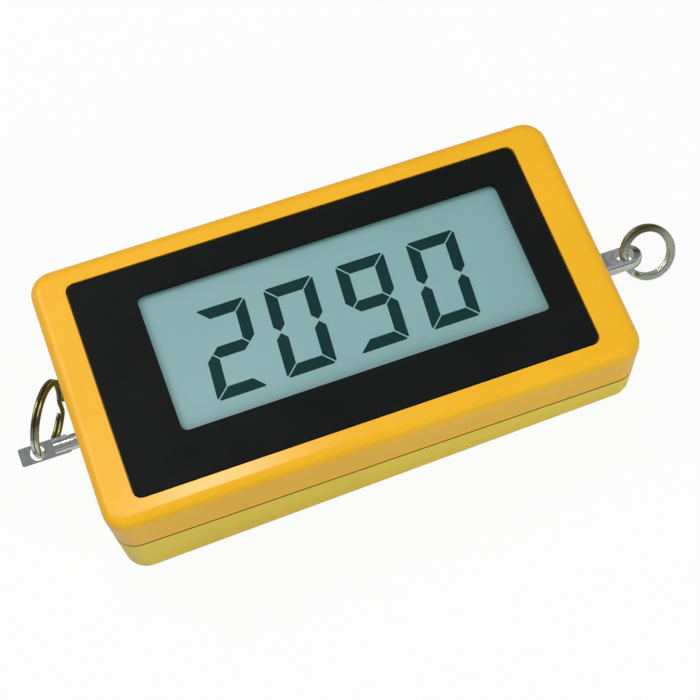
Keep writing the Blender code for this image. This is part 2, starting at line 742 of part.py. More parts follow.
def make_bezel_plate():
    """Black front plate with the window cut in it."""
    plate = block_between(
        "bezel_plate",
        (-BEZEL_LENGTH / 2, -BEZEL_DEPTH / 2, BEZEL_LOW),
        (BEZEL_LENGTH / 2, BEZEL_DEPTH / 2, BEZEL_TOP),
        PANEL_BLACK, face_frame, corner=BEZEL_CORNER,
    )
    cut(plate, window_box("window_cut", 0.0, BEZEL_LOW - OVERRUN, BEZEL_TOP + OVERRUN))
    return plate


def make_window_lens():
    """Clear lens that fills the window."""
    return window_box("window_lens", -CLEARANCE, BEZEL_LOW, BEZEL_TOP - LENS_SINK, CLEAR_LENS,
                      corner=WINDOW_CORNER - CLEARANCE)


# Which of the seven segments each numeral lights: top, upper right, lower right, bottom,
# lower left, upper left, middle
LIT_SEGMENTS = {0: "abcdef", 2: "abdeg", 9: "abcdfg"}


def top_bar(half_width, half_height):
    """Return the outline of a digit's top segment, its ends mitred against the sides."""
    off = SEGMENT_GAP / math.sqrt(2)
    corner = ((DIGIT_CORNER + off) / 2, (DIGIT_CORNER - off) / 2)
    right = [(half_width - DIGIT_CORNER, half_height),
             (half_width - corner[0], half_height - corner[1]),
             (half_width - SEGMENT_WIDTH - off, half_height - SEGMENT_WIDTH)]
    return right + [(-x, y) for x, y in reversed(right)]


def side_bar(half_width, half_height):
    """Return the outline of a digit's upper right segment, mitred above and pointed below."""
    off = SEGMENT_GAP / math.sqrt(2)
    corner = ((DIGIT_CORNER - off) / 2, (DIGIT_CORNER + off) / 2)
    middle = SEGMENT_WIDTH / 2
    return [(half_width, half_height - DIGIT_CORNER),
            (half_width - corner[0], half_height - corner[1]),
            (half_width - SEGMENT_WIDTH, half_height - SEGMENT_WIDTH - off),
            (half_width - SEGMENT_WIDTH, middle + off),
            (half_width - middle, off),
            (half_width, middle + off)]


def middle_bar(half_width):
    """Return the outline of a digit's middle segment, pointed at both ends."""
    off = SEGMENT_GAP / math.sqrt(2)
    middle = SEGMENT_WIDTH / 2
    right = [(half_width - SEGMENT_WIDTH - off, middle), (half_width - middle - off, 0.0),
             (half_width - SEGMENT_WIDTH - off, -middle)]
    return right + [(-x, y) for x, y in reversed(right)]


def segment_outlines():
    """Return the outline of each of the seven segments round a digit's middle."""
    half_width = DIGIT_WIDTH / 2
    half_height = DIGIT_HEIGHT / 2
    top = top_bar(half_width, half_height)
    side = side_bar(half_width, half_height)
    return {
        "a": top,
        "b": side,
        "c": [(x, -y) for x, y in side],
        "d": [(x, -y) for x, y in top],
        "e": [(-x, -y) for x, y in side],
        "f": [(-x, y) for x, y in side],
        "g": middle_bar(half_width),
    }


def digit_middles():
    """Return where the middle of each digit lies along X, the row centred on the reading."""
    places = [0.0, FIRST_DIGIT_PITCH]
    while len(places) < len(READING):
        places.append(places[-1] + DIGIT_PITCH)
    shift = READING_MIDDLE_X - (places[0] + places[-1]) / 2
    return [spot + shift for spot in places]


def segment_bars():
    """Return the outline of every lit segment of the reading, in the face's plane."""
    outlines = segment_outlines()
    slant = math.tan(math.radians(DIGIT_SLANT))
    return [
        [(middle + x + slant * y, READING_MIDDLE_Y + y) for x, y in outlines[letter]]
        for middle, numeral in zip(digit_middles(), READING)
        for letter in LIT_SEGMENTS[numeral]
    ]


def prisms(name, outlines, low, high):
    """Return a cutter that holds one upright prism for each outline."""
    build = bmesh.new()
    for outline in outlines:
        face = build.faces.new([build.verts.new((x, y, low)) for x, y in outline])
        grown = bmesh.ops.extrude_face_region(build, geom=[face])
        raised = [item for item in grown["geom"] if isinstance(item, bmesh.types.BMVert)]
        bmesh.ops.translate(build, vec=(0.0, 0.0, high - low), verts=raised)
    return place(name, mesh_from(name, build), None, (0, 0, 0), (0, 0, 0), face_frame)


def make_lcd_glass():
    """Liquid crystal cell with the lit segments sunk in its face."""
    glass = window_box("lcd_glass", GLASS_MARGIN, GLASS_LOW, GLASS_TOP, DISPLAY_TEAL, corner=0.0)
    cut(glass, prisms("segments", segment_bars(), GLASS_TOP - SEGMENT_DEPTH, GLASS_TOP + OVERRUN))
    return glass


def make_lcd_backing():
    """Reflector, contact strips and the white frame that holds them on the board."""
    outer = GLASS_MARGIN + CLEARANCE + FRAME_WALL
    inner = GLASS_MARGIN + CLEARANCE
    frame = window_box("lcd_frame", outer, FRAME_LOW, FRAME_TOP, WHITE_PLASTIC, corner=FRAME_WALL)
    shelf_top = REFLECTOR_LOW - CLEARANCE
    shelf_low = shelf_top - FRAME_SHELF_THICKNESS
    cut(
        frame,
        window_box("frame_upper", inner, shelf_top, FRAME_TOP + OVERRUN, corner=0.0),
        window_box("frame_lower", inner, FRAME_LOW - OVERRUN, shelf_low, corner=0.0),
        block_between(
            "frame_middle",
            (WINDOW_LEFT - inner + FRAME_SHELF, WINDOW_NEAR - inner, shelf_low - OVERRUN),
            (WINDOW_RIGHT + inner - FRAME_SHELF, WINDOW_FAR + inner, shelf_top + OVERRUN),
            parent=face_frame,
        ),
    )
    strip = REFLECTOR_MARGIN - GLASS_MARGIN
    block_between(
        "lcd_reflector",
        (WINDOW_LEFT - GLASS_MARGIN, WINDOW_NEAR - GLASS_MARGIN + strip, REFLECTOR_LOW),
        (WINDOW_RIGHT + GLASS_MARGIN, WINDOW_FAR + GLASS_MARGIN - strip, REFLECTOR_TOP),
        SILVER_FILM, face_frame,
    )
    for side, edge in (("near", WINDOW_NEAR), ("far", WINDOW_FAR)):
        way = 1.0 if side == "near" else -1.0
        first = edge - way * GLASS_MARGIN
        second = first + way * ZEBRA_WIDTH
        block_between(
            f"zebra_strip_{side}",
            (WINDOW_LEFT + ZEBRA_MARGIN, min(first, second), BOARD_TOP + CLEARANCE),
            (WINDOW_RIGHT - ZEBRA_MARGIN, max(first, second), GLASS_LOW - CLEARANCE),
            SOFT_BLACK, face_frame,
        )


# Circuit board and what it carries

def make_main_board():
    """Circuit board, drilled for its four screws."""
    board = block_between(
        "main_board",
        (-BOARD_LENGTH / 2, BOARD_NEAR, BOARD_LOW),
        (BOARD_LENGTH / 2, BOARD_FAR, BOARD_TOP),
        BOARD_GREEN, face_frame,
    )
    for number, spot in enumerate(POST_SPOTS):
        cut(board, peg(f"board_hole_{number}", BOARD_SCREW_SHANK + CLEARANCE,
                       BOARD_LOW - OVERRUN, BOARD_TOP + OVERRUN, spot, parent=face_frame,
                       steps=SMALL_STEPS))
    return board


def make_screws(name, spots, seat, shank, head, head_height, tip, material):
    """Make identical cross-head screws that point up from a seat level."""
    for number, (x, y) in enumerate(spots, 1):
        screw = turned(
            f"{name}_{number}",
            [(0.0, tip - seat), (shank, tip - seat), (shank, 0.0), (head, 0.0),
             (head, -head_height), (0.0, -head_height)],
            (x, y, seat), material, face_frame, steps=SMALL_STEPS,
        )
        arm = block(f"{name}_{number}_arm", (CROSS_WIDTH, head, 2 * CROSS_DEPTH),
                    (x, y, seat - head_height), parent=face_frame)
        bar = block(f"{name}_{number}_bar", (head, CROSS_WIDTH, 2 * CROSS_DEPTH),
                    (x, y, seat - head_height), parent=face_frame)
        join(arm, bar)
        cut(screw, arm)


def row_of(name, count, size, start, material):
    """Make a row of small board parts along X."""
    for number in range(count):
        block(f"{name}_{number + 1}", size, (start[0] + number * PART_PITCH, start[1], start[2]),
              material, face_frame)


CONTROLLER_SPOT = (BEAM_LEFT + CONTROLLER_PAST_BEAM, BOARD_FAR - CHIP_ROW_INSET)
CONVERTER_SPOT = (BEAM_LEFT - CONVERTER_BEFORE_BEAM, CONVERTER_Y)
CRYSTAL_SPOT = (BEAM_LEFT + CRYSTAL_PAST_BEAM, BOARD_FAR - CHIP_ROW_INSET)
CAPACITOR_START = (CAPACITOR_X, BOARD_NEAR + PART_ROW_INSET)
RESISTOR_START = (RESISTOR_X, BOARD_NEAR + PART_ROW_INSET)
LOAD_SOCKET_SPOT = (BEAM_LEFT - LOAD_SOCKET_BEFORE_BEAM, BOARD_NEAR + LOAD_SOCKET_INSET)
BATTERY_SOCKET_SPOT = (WELL_X + BATTERY_SOCKET_PAST_WELL, BOARD_FAR - BATTERY_SOCKET_INSET)


def chip(name, length, depth, spot):
    """Return a flat chip under the board."""
    return block(name, (length, depth, CHIP_HEIGHT), (*spot, PART_TOP - CHIP_HEIGHT / 2),
                 CHIP_BLACK, face_frame)


def make_board_parts():
    """Chips, crystal, capacitors, resistors and lead sockets on the board's underside."""
    chip("microcontroller", CONTROLLER_SIZE, CONTROLLER_SIZE, CONTROLLER_SPOT)
    chip("converter_chip", CONVERTER_LENGTH, CONVERTER_DEPTH, CONVERTER_SPOT)
    cylinder("crystal", CRYSTAL_RADIUS, CRYSTAL_LENGTH, (*CRYSTAL_SPOT, PART_TOP - CRYSTAL_RADIUS),
             TIN, face_frame, rotation=(math.pi / 2, 0.0, 0.0), steps=SMALL_STEPS)
    row_of("capacitor", CAPACITOR_COUNT, (CAPACITOR_LENGTH, CAPACITOR_DEPTH, CAPACITOR_HEIGHT),
           (*CAPACITOR_START, PART_TOP - CAPACITOR_HEIGHT / 2), CERAMIC)
    row_of("resistor", RESISTOR_COUNT, (RESISTOR_LENGTH, RESISTOR_DEPTH, RESISTOR_HEIGHT),
           (*RESISTOR_START, PART_TOP - RESISTOR_HEIGHT / 2), CHIP_BLACK)
    sockets = {"load_cell_socket": LOAD_SOCKET_SPOT, "battery_socket": BATTERY_SOCKET_SPOT}
    for name, spot in sockets.items():
        block(name, (SOCKET_LENGTH, SOCKET_DEPTH, SOCKET_HEIGHT),
              (*spot, PART_TOP - SOCKET_HEIGHT / 2), WHITE_PLASTIC, face_frame)


# Buttons on the far side

def make_buttons():
    """Two push buttons in the far wall and the switches behind them."""
    inner_wall = CASE_DEPTH / 2 - CASE_WALL
    flange_front = inner_wall - CLEARANCE
    flange_back = flange_front - BUTTON_FLANGE_THICKNESS
    switch_front = flange_back - BUTTON_TRAVEL - CLEARANCE - PLUNGER_LENGTH
    for name, x in BUTTONS.items():
        button = block_between(
            name,
            (x - BUTTON_LENGTH / 2, flange_front - OVERRUN / 2, -BUTTON_DROP - BUTTON_HEIGHT / 2),
            (x + BUTTON_LENGTH / 2, CASE_DEPTH / 2 + BUTTON_PROUD,
             -BUTTON_DROP + BUTTON_HEIGHT / 2),
            BUTTON_BLACK, face_frame,
        )
        flange = block(
            f"{name}_flange",
            (BUTTON_LENGTH + 2 * BUTTON_FLANGE, BUTTON_FLANGE_THICKNESS,
             BUTTON_HEIGHT + 2 * BUTTON_FLANGE),
            (x, flange_front - BUTTON_FLANGE_THICKNESS / 2, -BUTTON_DROP), parent=face_frame,
        )
        join(button, flange)
        body = block_between(
            name.replace("button", "switch"),
            (x - SWITCH_LENGTH / 2, switch_front - SWITCH_DEPTH, BOARD_TOP + CLEARANCE),
            (x + SWITCH_LENGTH / 2, switch_front, BOARD_TOP + CLEARANCE + SWITCH_HEIGHT),
            CHIP_BLACK, face_frame,
        )
        plunger = cylinder(
            f"{name}_plunger", PLUNGER_RADIUS, 2 * PLUNGER_LENGTH,
            (x, switch_front, -BUTTON_DROP), parent=face_frame, rotation=(math.pi / 2, 0.0, 0.0),
            steps=SMALL_STEPS,
        )
        join(body, plunger)


# Load cell, rods and rings

def make_load_cell():
    """S-shaped beam: two slots leave a middle block with a double eye for the gauges."""
    middle = (BEAM_MIDDLE, ROD_LINE_Y, ROD_LEVEL)
    beam = block("load_cell", (BEAM_LENGTH, BEAM_DEPTH, BEAM_THICKNESS), middle, ALUMINIUM,
                 face_frame)
    reach = BEAM_DEPTH - BEAM_BRIDGE
    height = BEAM_THICKNESS + 2 * OVERRUN
    for way in (-1, 1):
        slot = block(
            f"beam_slot_{way}", (BEAM_SLOT, reach, height),
            (BEAM_MIDDLE + way * (BEAM_LENGTH / 2 - BEAM_ARM - BEAM_SLOT / 2),
             ROD_LINE_Y + way * (BEAM_DEPTH / 2 - reach / 2 + BEAM_SLOT_OVERRUN), ROD_LEVEL),
            parent=face_frame,
        )
        tap = cylinder(
            f"beam_tap_{way}", ROD_BORE, 2 * BEAM_TAP_DEPTH,
            (BEAM_MIDDLE + way * BEAM_LENGTH / 2, ROD_LINE_Y, ROD_LEVEL), parent=face_frame,
            rotation=ALONG_X, steps=SMALL_STEPS,
        )
        eye = cylinder(
            f"beam_eye_{way}", BEAM_EYE_RADIUS, height,
            (BEAM_MIDDLE, ROD_LINE_Y + way * BEAM_EYE_SPREAD, ROD_LEVEL), parent=face_frame,
        )
        cut(beam, slot, tap, eye)
    link = block("beam_eye_link", (BEAM_EYE_RADIUS, 2 * BEAM_EYE_SPREAD, height), middle,
                 parent=face_frame)
    cut(beam, link)
    for number, spot in enumerate(beam_screw_spots()):
        cut(beam, peg(f"beam_screw_bore_{number}", BEAM_SCREW_SHANK + CLEARANCE,
                      BEAM_LOW - OVERRUN, BEAM_LOW + BEAM_SCREW_BITE + CLEARANCE, spot,
                      parent=face_frame, steps=SMALL_STEPS))
    return beam


def make_strain_gauges():
    """Four foil gauges on the inner walls of the double eye."""
    edge = GAUGE_WIDTH / 2
    wall = math.sqrt(BEAM_EYE_RADIUS ** 2 - edge ** 2) * EYE_FACET_SHARE
    offset = wall - CLEARANCE - GAUGE_THICKNESS / 2
    for number, (side, row) in enumerate(corners_of((-1, 1), (-1, 1)), 1):
        block(
            f"strain_gauge_{number}", (GAUGE_THICKNESS, GAUGE_WIDTH, GAUGE_LENGTH),
            (BEAM_MIDDLE + side * offset, ROD_LINE_Y + row * BEAM_EYE_SPREAD, ROD_LEVEL),
            GAUGE_FOIL, face_frame,
        )


EYE_FACET_SHARE = math.cos(math.pi / ROUND_STEPS)


def make_rod_nuts():
    """Lock nuts on both rods, against the load cell."""
    for side, face in (("left", BEAM_LEFT), ("right", BEAM_RIGHT)):
        way = -1 if side == "left" else 1
        spot = (face + way * (CLEARANCE + NUT_HEIGHT / 2), ROD_LINE_Y, ROD_LEVEL)
        nut = cylinder(f"rod_lock_nut_{side}", NUT_RADIUS, NUT_HEIGHT, spot, STEEL, face_frame,
                       rotation=ALONG_X, steps=NUT_SIDES)
        cut(nut, cylinder(f"nut_bore_{side}", ROD_BORE, NUT_HEIGHT + 2 * OVERRUN, spot,
                          parent=face_frame, rotation=ALONG_X, steps=SMALL_STEPS))


def make_bushes():
    """Bushes that guide the rods inside the end walls; the left one has a sleeve in its hole."""
    for side, bush in BUSHES.items():
        bore = bush["bore"]
        sleeve = bush["sleeve"]
        seat = REAR_WALL + CLEARANCE + BUSH_FLANGE_RADIUS * math.tan(WEDGE)
        top = seat + bush["flange"]
        profile = [(bore, top), (BUSH_FLANGE_RADIUS, top), (BUSH_FLANGE_RADIUS, seat)]
        profile += [(sleeve, seat), (sleeve, 0.0), (bore, 0.0)] if sleeve else [(bore, seat)]
        turned(
            f"rod_bush_{side}", profile, (bush["wall"], ROD_LINE_Y, ROD_LEVEL), NYLON,
            face_frame, closed=True, rotation=(0.0, bush["turn"], 0.0),
        )


RINGS = {
    "left": {
        "hole": LEFT_WALL - LEFT_ROD_REACH + LEFT_HOLE_INSET,
        "thickness": LEFT_TAB_THICKNESS,
        "roll": LEFT_TAB_ROLL,
        "diameter": LEFT_RING_DIAMETER,
        "width": LEFT_RING_WIDTH,
        "start": LEFT_RING_START,
        "pose": (LEFT_RING_LEAN, LEFT_RING_LIFT, LEFT_RING_TURN),
    },
    "right": {
        "hole": RIGHT_WALL + RIGHT_ROD_REACH - RIGHT_HOLE_INSET,
        "thickness": RIGHT_EYE_THICKNESS,
        "roll": RIGHT_ROLL,
        "diameter": RIGHT_RING_DIAMETER,
        "width": RIGHT_RING_WIDTH,
        "start": RIGHT_RING_START,
        "pose": (RIGHT_RING_LEAN, RIGHT_RING_LIFT, RIGHT_RING_TURN),
    },
}


def hole_radius(ring):
    """Return the radius of the hole that a leaning and lifted two-turn ring passes through."""
    lean, lift, _ = (math.radians(angle) for angle in ring["pose"])
    tilt = math.acos(math.cos(lean) * math.cos(lift))
    mean_radius = (ring["diameter"] - ring["width"]) / 2
    half = ring["thickness"] / 2
    bow = mean_radius - math.sqrt(mean_radius ** 2 - half ** 2)
    across = RING_AXIAL / math.cos(tilt) + ring["thickness"] * math.tan(tilt)
    along = ring["width"] + 2 * bow
    return math.hypot(across, along) / 2 + RING_HOLE_CLEARANCE


def make_left_rod():
    """Round rod with a flattened, drilled end."""
    inner = BEAM_LEFT + BEAM_TAP_DEPTH - CLEARANCE
    outer = LEFT_WALL - LEFT_ROD_REACH
    tab_root = outer + LEFT_TAB_LENGTH
    overlap = 2 * ROD_RADIUS
    rod = cylinder(
        "eye_rod_left", ROD_RADIUS, inner - tab_root,
        ((inner + tab_root) / 2, ROD_LINE_Y, ROD_LEVEL), CHROME, face_frame, rotation=ALONG_X,
    )
    roll = math.radians(LEFT_TAB_ROLL)
    radius = hole_radius(RINGS["left"])
    width = 2 * (radius + LEFT_TAB_EDGE)
    tab = block(
        "left_tab", (LEFT_TAB_LENGTH + overlap, width, LEFT_TAB_THICKNESS),
        (outer + (LEFT_TAB_LENGTH + overlap) / 2, ROD_LINE_Y, ROD_LEVEL), parent=face_frame,
        rotation=(roll, 0.0, 0.0), corner=LEFT_TAB_CORNER,
    )
    hole = cylinder(
        "left_tab_hole", radius, LEFT_TAB_THICKNESS + 2 * OVERRUN,
        (RINGS["left"]["hole"], ROD_LINE_Y, ROD_LEVEL), parent=face_frame,
        rotation=(roll, 0.0, 0.0),
    )
    join(rod, tab)
    cut(rod, hole)
    shade(rod)
    return rod


def make_right_rod():
    """Thicker rod with a rounded eye milled flat on both sides and a thinner inner end."""
    inner = BEAM_RIGHT - BEAM_TAP_DEPTH + CLEARANCE
    outer = RIGHT_WALL + RIGHT_ROD_REACH
    shoulder = RIGHT_WALL - REAR_WALL - RIGHT_SHANK_INSIDE
    dome = []
    for step in range(DOME_STEPS + 1):
        angle = math.pi / 2 * step / DOME_STEPS
        dome.append((
            RIGHT_SHANK_RADIUS - RIGHT_END_ROUND + RIGHT_END_ROUND * math.sin(angle),
            outer - RIGHT_END_ROUND + RIGHT_END_ROUND * math.cos(angle),
        ))
    profile = [(0.0, outer)] + dome + [
        (RIGHT_SHANK_RADIUS, shoulder), (ROD_RADIUS, shoulder), (ROD_RADIUS, inner), (0.0, inner),
    ]
    rod = turned("eye_rod_right", profile, (0.0, ROD_LINE_Y, ROD_LEVEL), CHROME, face_frame,
                 rotation=ALONG_X)
    hole_x = RINGS["right"]["hole"]
    roll = empty("right_eye", (hole_x, ROD_LINE_Y, ROD_LEVEL),
                 (math.radians(RIGHT_ROLL), 0.0, 0.0), face_frame)
    for way in (-1, 1):
        cut(rod, milled_flat(f"right_eye_flat_{way}", way, outer - hole_x, roll))
    hole = cylinder(
        "right_rod_hole", hole_radius(RINGS["right"]), 2 * RIGHT_SHANK_RADIUS + 2 * OVERRUN,
        (0.0, 0.0, 0.0), parent=roll,
    )
    cut(rod, hole)
    shade(rod)
    return rod


def milled_flat(name, way, end, parent):
    """Return the cutter of one flat of the right eye, with a sloped run-out toward the shank."""
    root = end - RIGHT_EYE_LENGTH
    half = RIGHT_EYE_THICKNESS / 2
    clear = RIGHT_SHANK_RADIUS + OVERRUN
    side = [(root, half), (end + OVERRUN, half), (end + OVERRUN, clear),
            (root - RIGHT_EYE_RUNOUT * (clear - half) / (RIGHT_SHANK_RADIUS - half), clear)]
    build = bmesh.new()
    face = build.faces.new([build.verts.new((x, -clear, way * z)) for x, z in side])
    grown = bmesh.ops.extrude_face_region(build, geom=[face])
    moved = [item for item in grown["geom"] if isinstance(item, bmesh.types.BMVert)]
    bmesh.ops.translate(build, vec=(0.0, 2 * clear, 0.0), verts=moved)
    return place(name, mesh_from(name, build), None, (0, 0, 0), (0, 0, 0), parent)


def ring_path(ring):
    """Return the centre line of a two-turn split ring round the hole at its origin."""
    mean_radius = (ring["diameter"] - ring["width"]) / 2
    pitch = RING_WIRE_HEIGHT + RING_WIRE_GAP
    ramp = math.radians(RING_RAMP_ANGLE)
    start = math.radians(ring["start"])
    turn = 2 * math.pi
    sweep = RING_TURNS * turn - 2 * ramp
    count = RING_POINTS_A_TURN * RING_TURNS
    points = []
    for number in range(count + 1):
        angle = ramp + sweep * number / count
        share = min(max((angle - turn + ramp) / (2 * ramp), 0.0), 1.0)
        rise = share * share * (3 - 2 * share) - MIDWAY_SHARE
        points.append(Vector((
            mean_radius * (1 - math.cos(start + angle)),
            mean_radius * math.sin(start + angle),
            pitch * rise,
        )))
    return points


MIDWAY_SHARE = 0.5


def least_self_gap(points, width):
    """Return the least clear height between stretches of a ring that lie over each other."""
    turn = len(points) // RING_TURNS
    least = None
    for first, spot in enumerate(points):
        for other in points[first + turn // 2:]:
            beside = math.hypot(spot.x - other.x, spot.y - other.y) < width
            if beside:
                gap = abs(spot.z - other.z) - RING_WIRE_HEIGHT
                least = gap if least is None else min(least, gap)
    return least


def make_split_ring(side):
    """Two-turn split ring through a rod's hole, hung on an empty on the hole's axis."""
    ring = RINGS[side]
    name = f"split_ring_{side}"
    eye = empty(f"{name}_eye", (ring["hole"], ROD_LINE_Y, ROD_LEVEL),
                (math.radians(ring["roll"]), 0.0, 0.0), face_frame)
    section = bpy.data.curves.new(f"{name}_section", "CURVE")
    outline = section.splines.new("POLY")
    outline.points.add(SECTION_POINTS - 1)
    for number, point in enumerate(outline.points):
        angle = -2 * math.pi * number / SECTION_POINTS
        point.co = (ring["width"] / 2 * math.cos(angle), RING_WIRE_HEIGHT / 2 * math.sin(angle),
                    0.0, 1.0)
    outline.use_cyclic_u = True
    guide = place(f"{name}_section", section, None, (0, 0, 0), (0, 0, 0), None)
    curve = bpy.data.curves.new(name, "CURVE")
    curve.dimensions = "3D"
    curve.twist_mode = "Z_UP"
    curve.bevel_mode = "OBJECT"
    curve.bevel_object = guide
    curve.use_fill_caps = True
    path = ring_path(ring)
    spline = curve.splines.new("POLY")
    spline.points.add(len(path) - 1)
    for point, spot in zip(spline.points, path):
        point.co = (*spot, 1.0)
    gap = least_self_gap(path, ring["width"]) * MILLIMETRES
    print(f"{name}: least gap to itself {gap:.3f} mm")
    lean, lift, turn = ring["pose"]
    return place(name, curve, CHROME, (0, 0, 0),
                 (math.radians(QUARTER_TURN + lean), math.radians(lift), math.radians(turn)), eye)


MILLIMETRES = 1000
QUARTER_TURN = 90.0


# Battery

def make_battery():
    """Coin cell, its two contacts, the seal and the turning cover."""
    spot = (WELL_X, 0.0)
    peg("coin_cell", CELL_RADIUS, CELL_LOW, CELL_TOP, spot, STEEL, steps=FINE_STEPS)
    block(
        "battery_contact_centre",
        (CENTRE_CONTACT_LENGTH, CENTRE_CONTACT_WIDTH, CONTACT_THICKNESS),
        (WELL_X, 0.0, CONTACT_LOW + CONTACT_THICKNESS / 2), BRASS,
    )
    block(
        "battery_contact_rim", (RIM_CONTACT_LENGTH, RIM_CONTACT_WIDTH, CONTACT_THICKNESS),
        (WELL_X - RIM_CONTACT_REACH, 0.0, CONTACT_LOW + CONTACT_THICKNESS / 2), BRASS,
    )
    seal_top = SEAL_LOW + SEAL_THICKNESS
    seal_inner = COVER_RADIUS - SEAL_WIDTH
    turned("battery_seal",
           [(seal_inner, seal_top), (COVER_RADIUS, seal_top), (COVER_RADIUS, SEAL_LOW),
            (seal_inner, SEAL_LOW)],
           (WELL_X, 0.0, 0.0), SOFT_BLACK, closed=True, steps=FINE_STEPS)
    cover = turned("battery_cover",
                   [(0.0, CUP_FLOOR), (CUP_INNER, CUP_FLOOR), (CUP_INNER, CUP_TOP),
                    (CUP_OUTER, CUP_TOP), (CUP_OUTER, CUP_FLOOR), (COVER_RADIUS, CUP_FLOOR),
                    (COVER_RADIUS, COVER_LOW), (0.0, COVER_LOW)],
                   (WELL_X, 0.0, 0.0), CASE_YELLOW, steps=FINE_STEPS)
    for number in range(LUG_COUNT):
        join(cover, lug_block(f"lug_{number}", lug_angle(number), 0.0, LUG_LOW, LUG_TOP))
    slot = block("coin_slot", (COVER_SLOT_LENGTH, COVER_SLOT_WIDTH, 2 * COVER_SLOT_DEPTH),
                 (WELL_X, 0.0, COVER_LOW))
    cut(cover, slot)
    shade(cover)


# Leads

def tube(name, route, radius, material, parent):
    """Return a tube along a smooth curve from its first place to its last."""
    curve = bpy.data.curves.new(name, "CURVE")
    curve.dimensions = "3D"
    curve.bevel_depth = radius
    curve.bevel_resolution = 2
    curve.use_fill_caps = True
    points = smooth_route(route)
    spline = curve.splines.new("POLY")
    spline.points.add(len(points) - 1)
    for point, spot in zip(spline.points, points):
        point.co = (*spot, 1.0)
    return place(name, curve, material, (0, 0, 0), (0, 0, 0), parent)


def smooth_route(route):
    """Return points on a cubic Bezier curve, from its four control places."""
    first, second, third, last = (Vector(spot) for spot in route)
    points = []
    for number in range(LEAD_POINTS + 1):
        t = number / LEAD_POINTS
        rest = 1 - t
        points.append(first * rest ** 3 + second * 3 * rest ** 2 * t
                      + third * 3 * rest * t ** 2 + last * t ** 3)
    return points


def make_leads():
    """Leads from the battery well and from the load cell to their sockets."""
    socket_low = PART_TOP - SOCKET_HEIGHT - CLEARANCE
    roof = low_level(BATTERY_SOCKET_SPOT[0]) + WELL_TOP / math.cos(WEDGE) + CLEARANCE
    roof += BATTERY_LEAD_RADIUS
    x, y = BATTERY_SOCKET_SPOT
    leads = {"battery_lead_minus": (-1, SOFT_BLACK), "battery_lead_plus": (1, LEAD_RED)}
    for name, (way, material) in leads.items():
        start_x = WELL_X + way * LEAD_SPREAD / 2
        start_level = roof + (start_x - x) * math.tan(WEDGE)
        end_x = x + way * LEAD_SPREAD / 3
        tube(name, [
            (start_x, BATTERY_LEAD_START_Y, start_level),
            (start_x, BATTERY_LEAD_START_Y, start_level + LEAD_BEND),
            (end_x, y, socket_low - LEAD_BEND),
            (end_x, y, socket_low),
        ], BATTERY_LEAD_RADIUS, material, face_frame)
    x, y = LOAD_SOCKET_SPOT
    face = BEAM_LEFT - CLEARANCE
    tube("load_cell_lead", [
        (face, y, ROD_LEVEL), (face - LEAD_BEND, y, ROD_LEVEL),
        (x, y, socket_low - LEAD_BEND), (x, y, socket_low),
    ], CELL_LEAD_RADIUS, LEAD_GREY, face_frame)


make_front_shell()
make_rear_shell()
make_bezel_plate()
make_window_lens()
make_lcd_glass()
make_lcd_backing()
make_main_board()
make_screws("board_screw", POST_SPOTS, SCREW_SEAT, BOARD_SCREW_SHANK, BOARD_SCREW_HEAD,
            BOARD_SCREW_HEAD_HEIGHT, SCREW_TIP, STEEL)
make_board_parts()
make_buttons()
make_load_cell()
make_strain_gauges()
make_rod_nuts()
make_bushes()
make_left_rod()
make_right_rod()
make_split_ring("left")
make_split_ring("right")
make_screws("load_cell_screw", beam_screw_spots(), BEAM_SEAT - CLEARANCE, BEAM_SCREW_SHANK,
            BEAM_SCREW_HEAD, BEAM_SCREW_HEAD_HEIGHT, BEAM_LOW + BEAM_SCREW_BITE, STEEL)
make_screws("case_screw", BOSS_SPOTS, SEAT_LEVEL - CLEARANCE, CASE_SCREW_SHANK, CASE_SCREW_HEAD,
            CASE_SCREW_HEAD_HEIGHT, CASE_SCREW_TIP, STEEL)
make_battery()
make_leads()
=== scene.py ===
"""Looks for the hand-held tension calibrator: yellow case, black panel, display and chrome rings."""

import json
import math

import bmesh
import bpy
from mathutils import Euler, Matrix, Vector


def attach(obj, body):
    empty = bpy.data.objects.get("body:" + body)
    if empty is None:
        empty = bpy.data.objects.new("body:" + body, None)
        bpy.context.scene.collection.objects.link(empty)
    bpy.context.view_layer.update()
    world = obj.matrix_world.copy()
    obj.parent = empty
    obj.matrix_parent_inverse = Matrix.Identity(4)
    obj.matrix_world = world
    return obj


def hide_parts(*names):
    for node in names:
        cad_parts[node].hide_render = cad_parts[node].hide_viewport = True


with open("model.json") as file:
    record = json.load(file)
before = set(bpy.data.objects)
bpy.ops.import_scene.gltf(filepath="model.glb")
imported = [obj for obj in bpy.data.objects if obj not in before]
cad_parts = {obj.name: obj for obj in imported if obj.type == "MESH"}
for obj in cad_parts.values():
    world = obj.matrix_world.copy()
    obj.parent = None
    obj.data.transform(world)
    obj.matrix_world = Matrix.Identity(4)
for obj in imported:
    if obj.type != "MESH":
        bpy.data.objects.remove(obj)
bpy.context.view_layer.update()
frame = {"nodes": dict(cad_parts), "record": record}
nodes = frame["nodes"]

# Sizes that follow the part, in metres and degrees

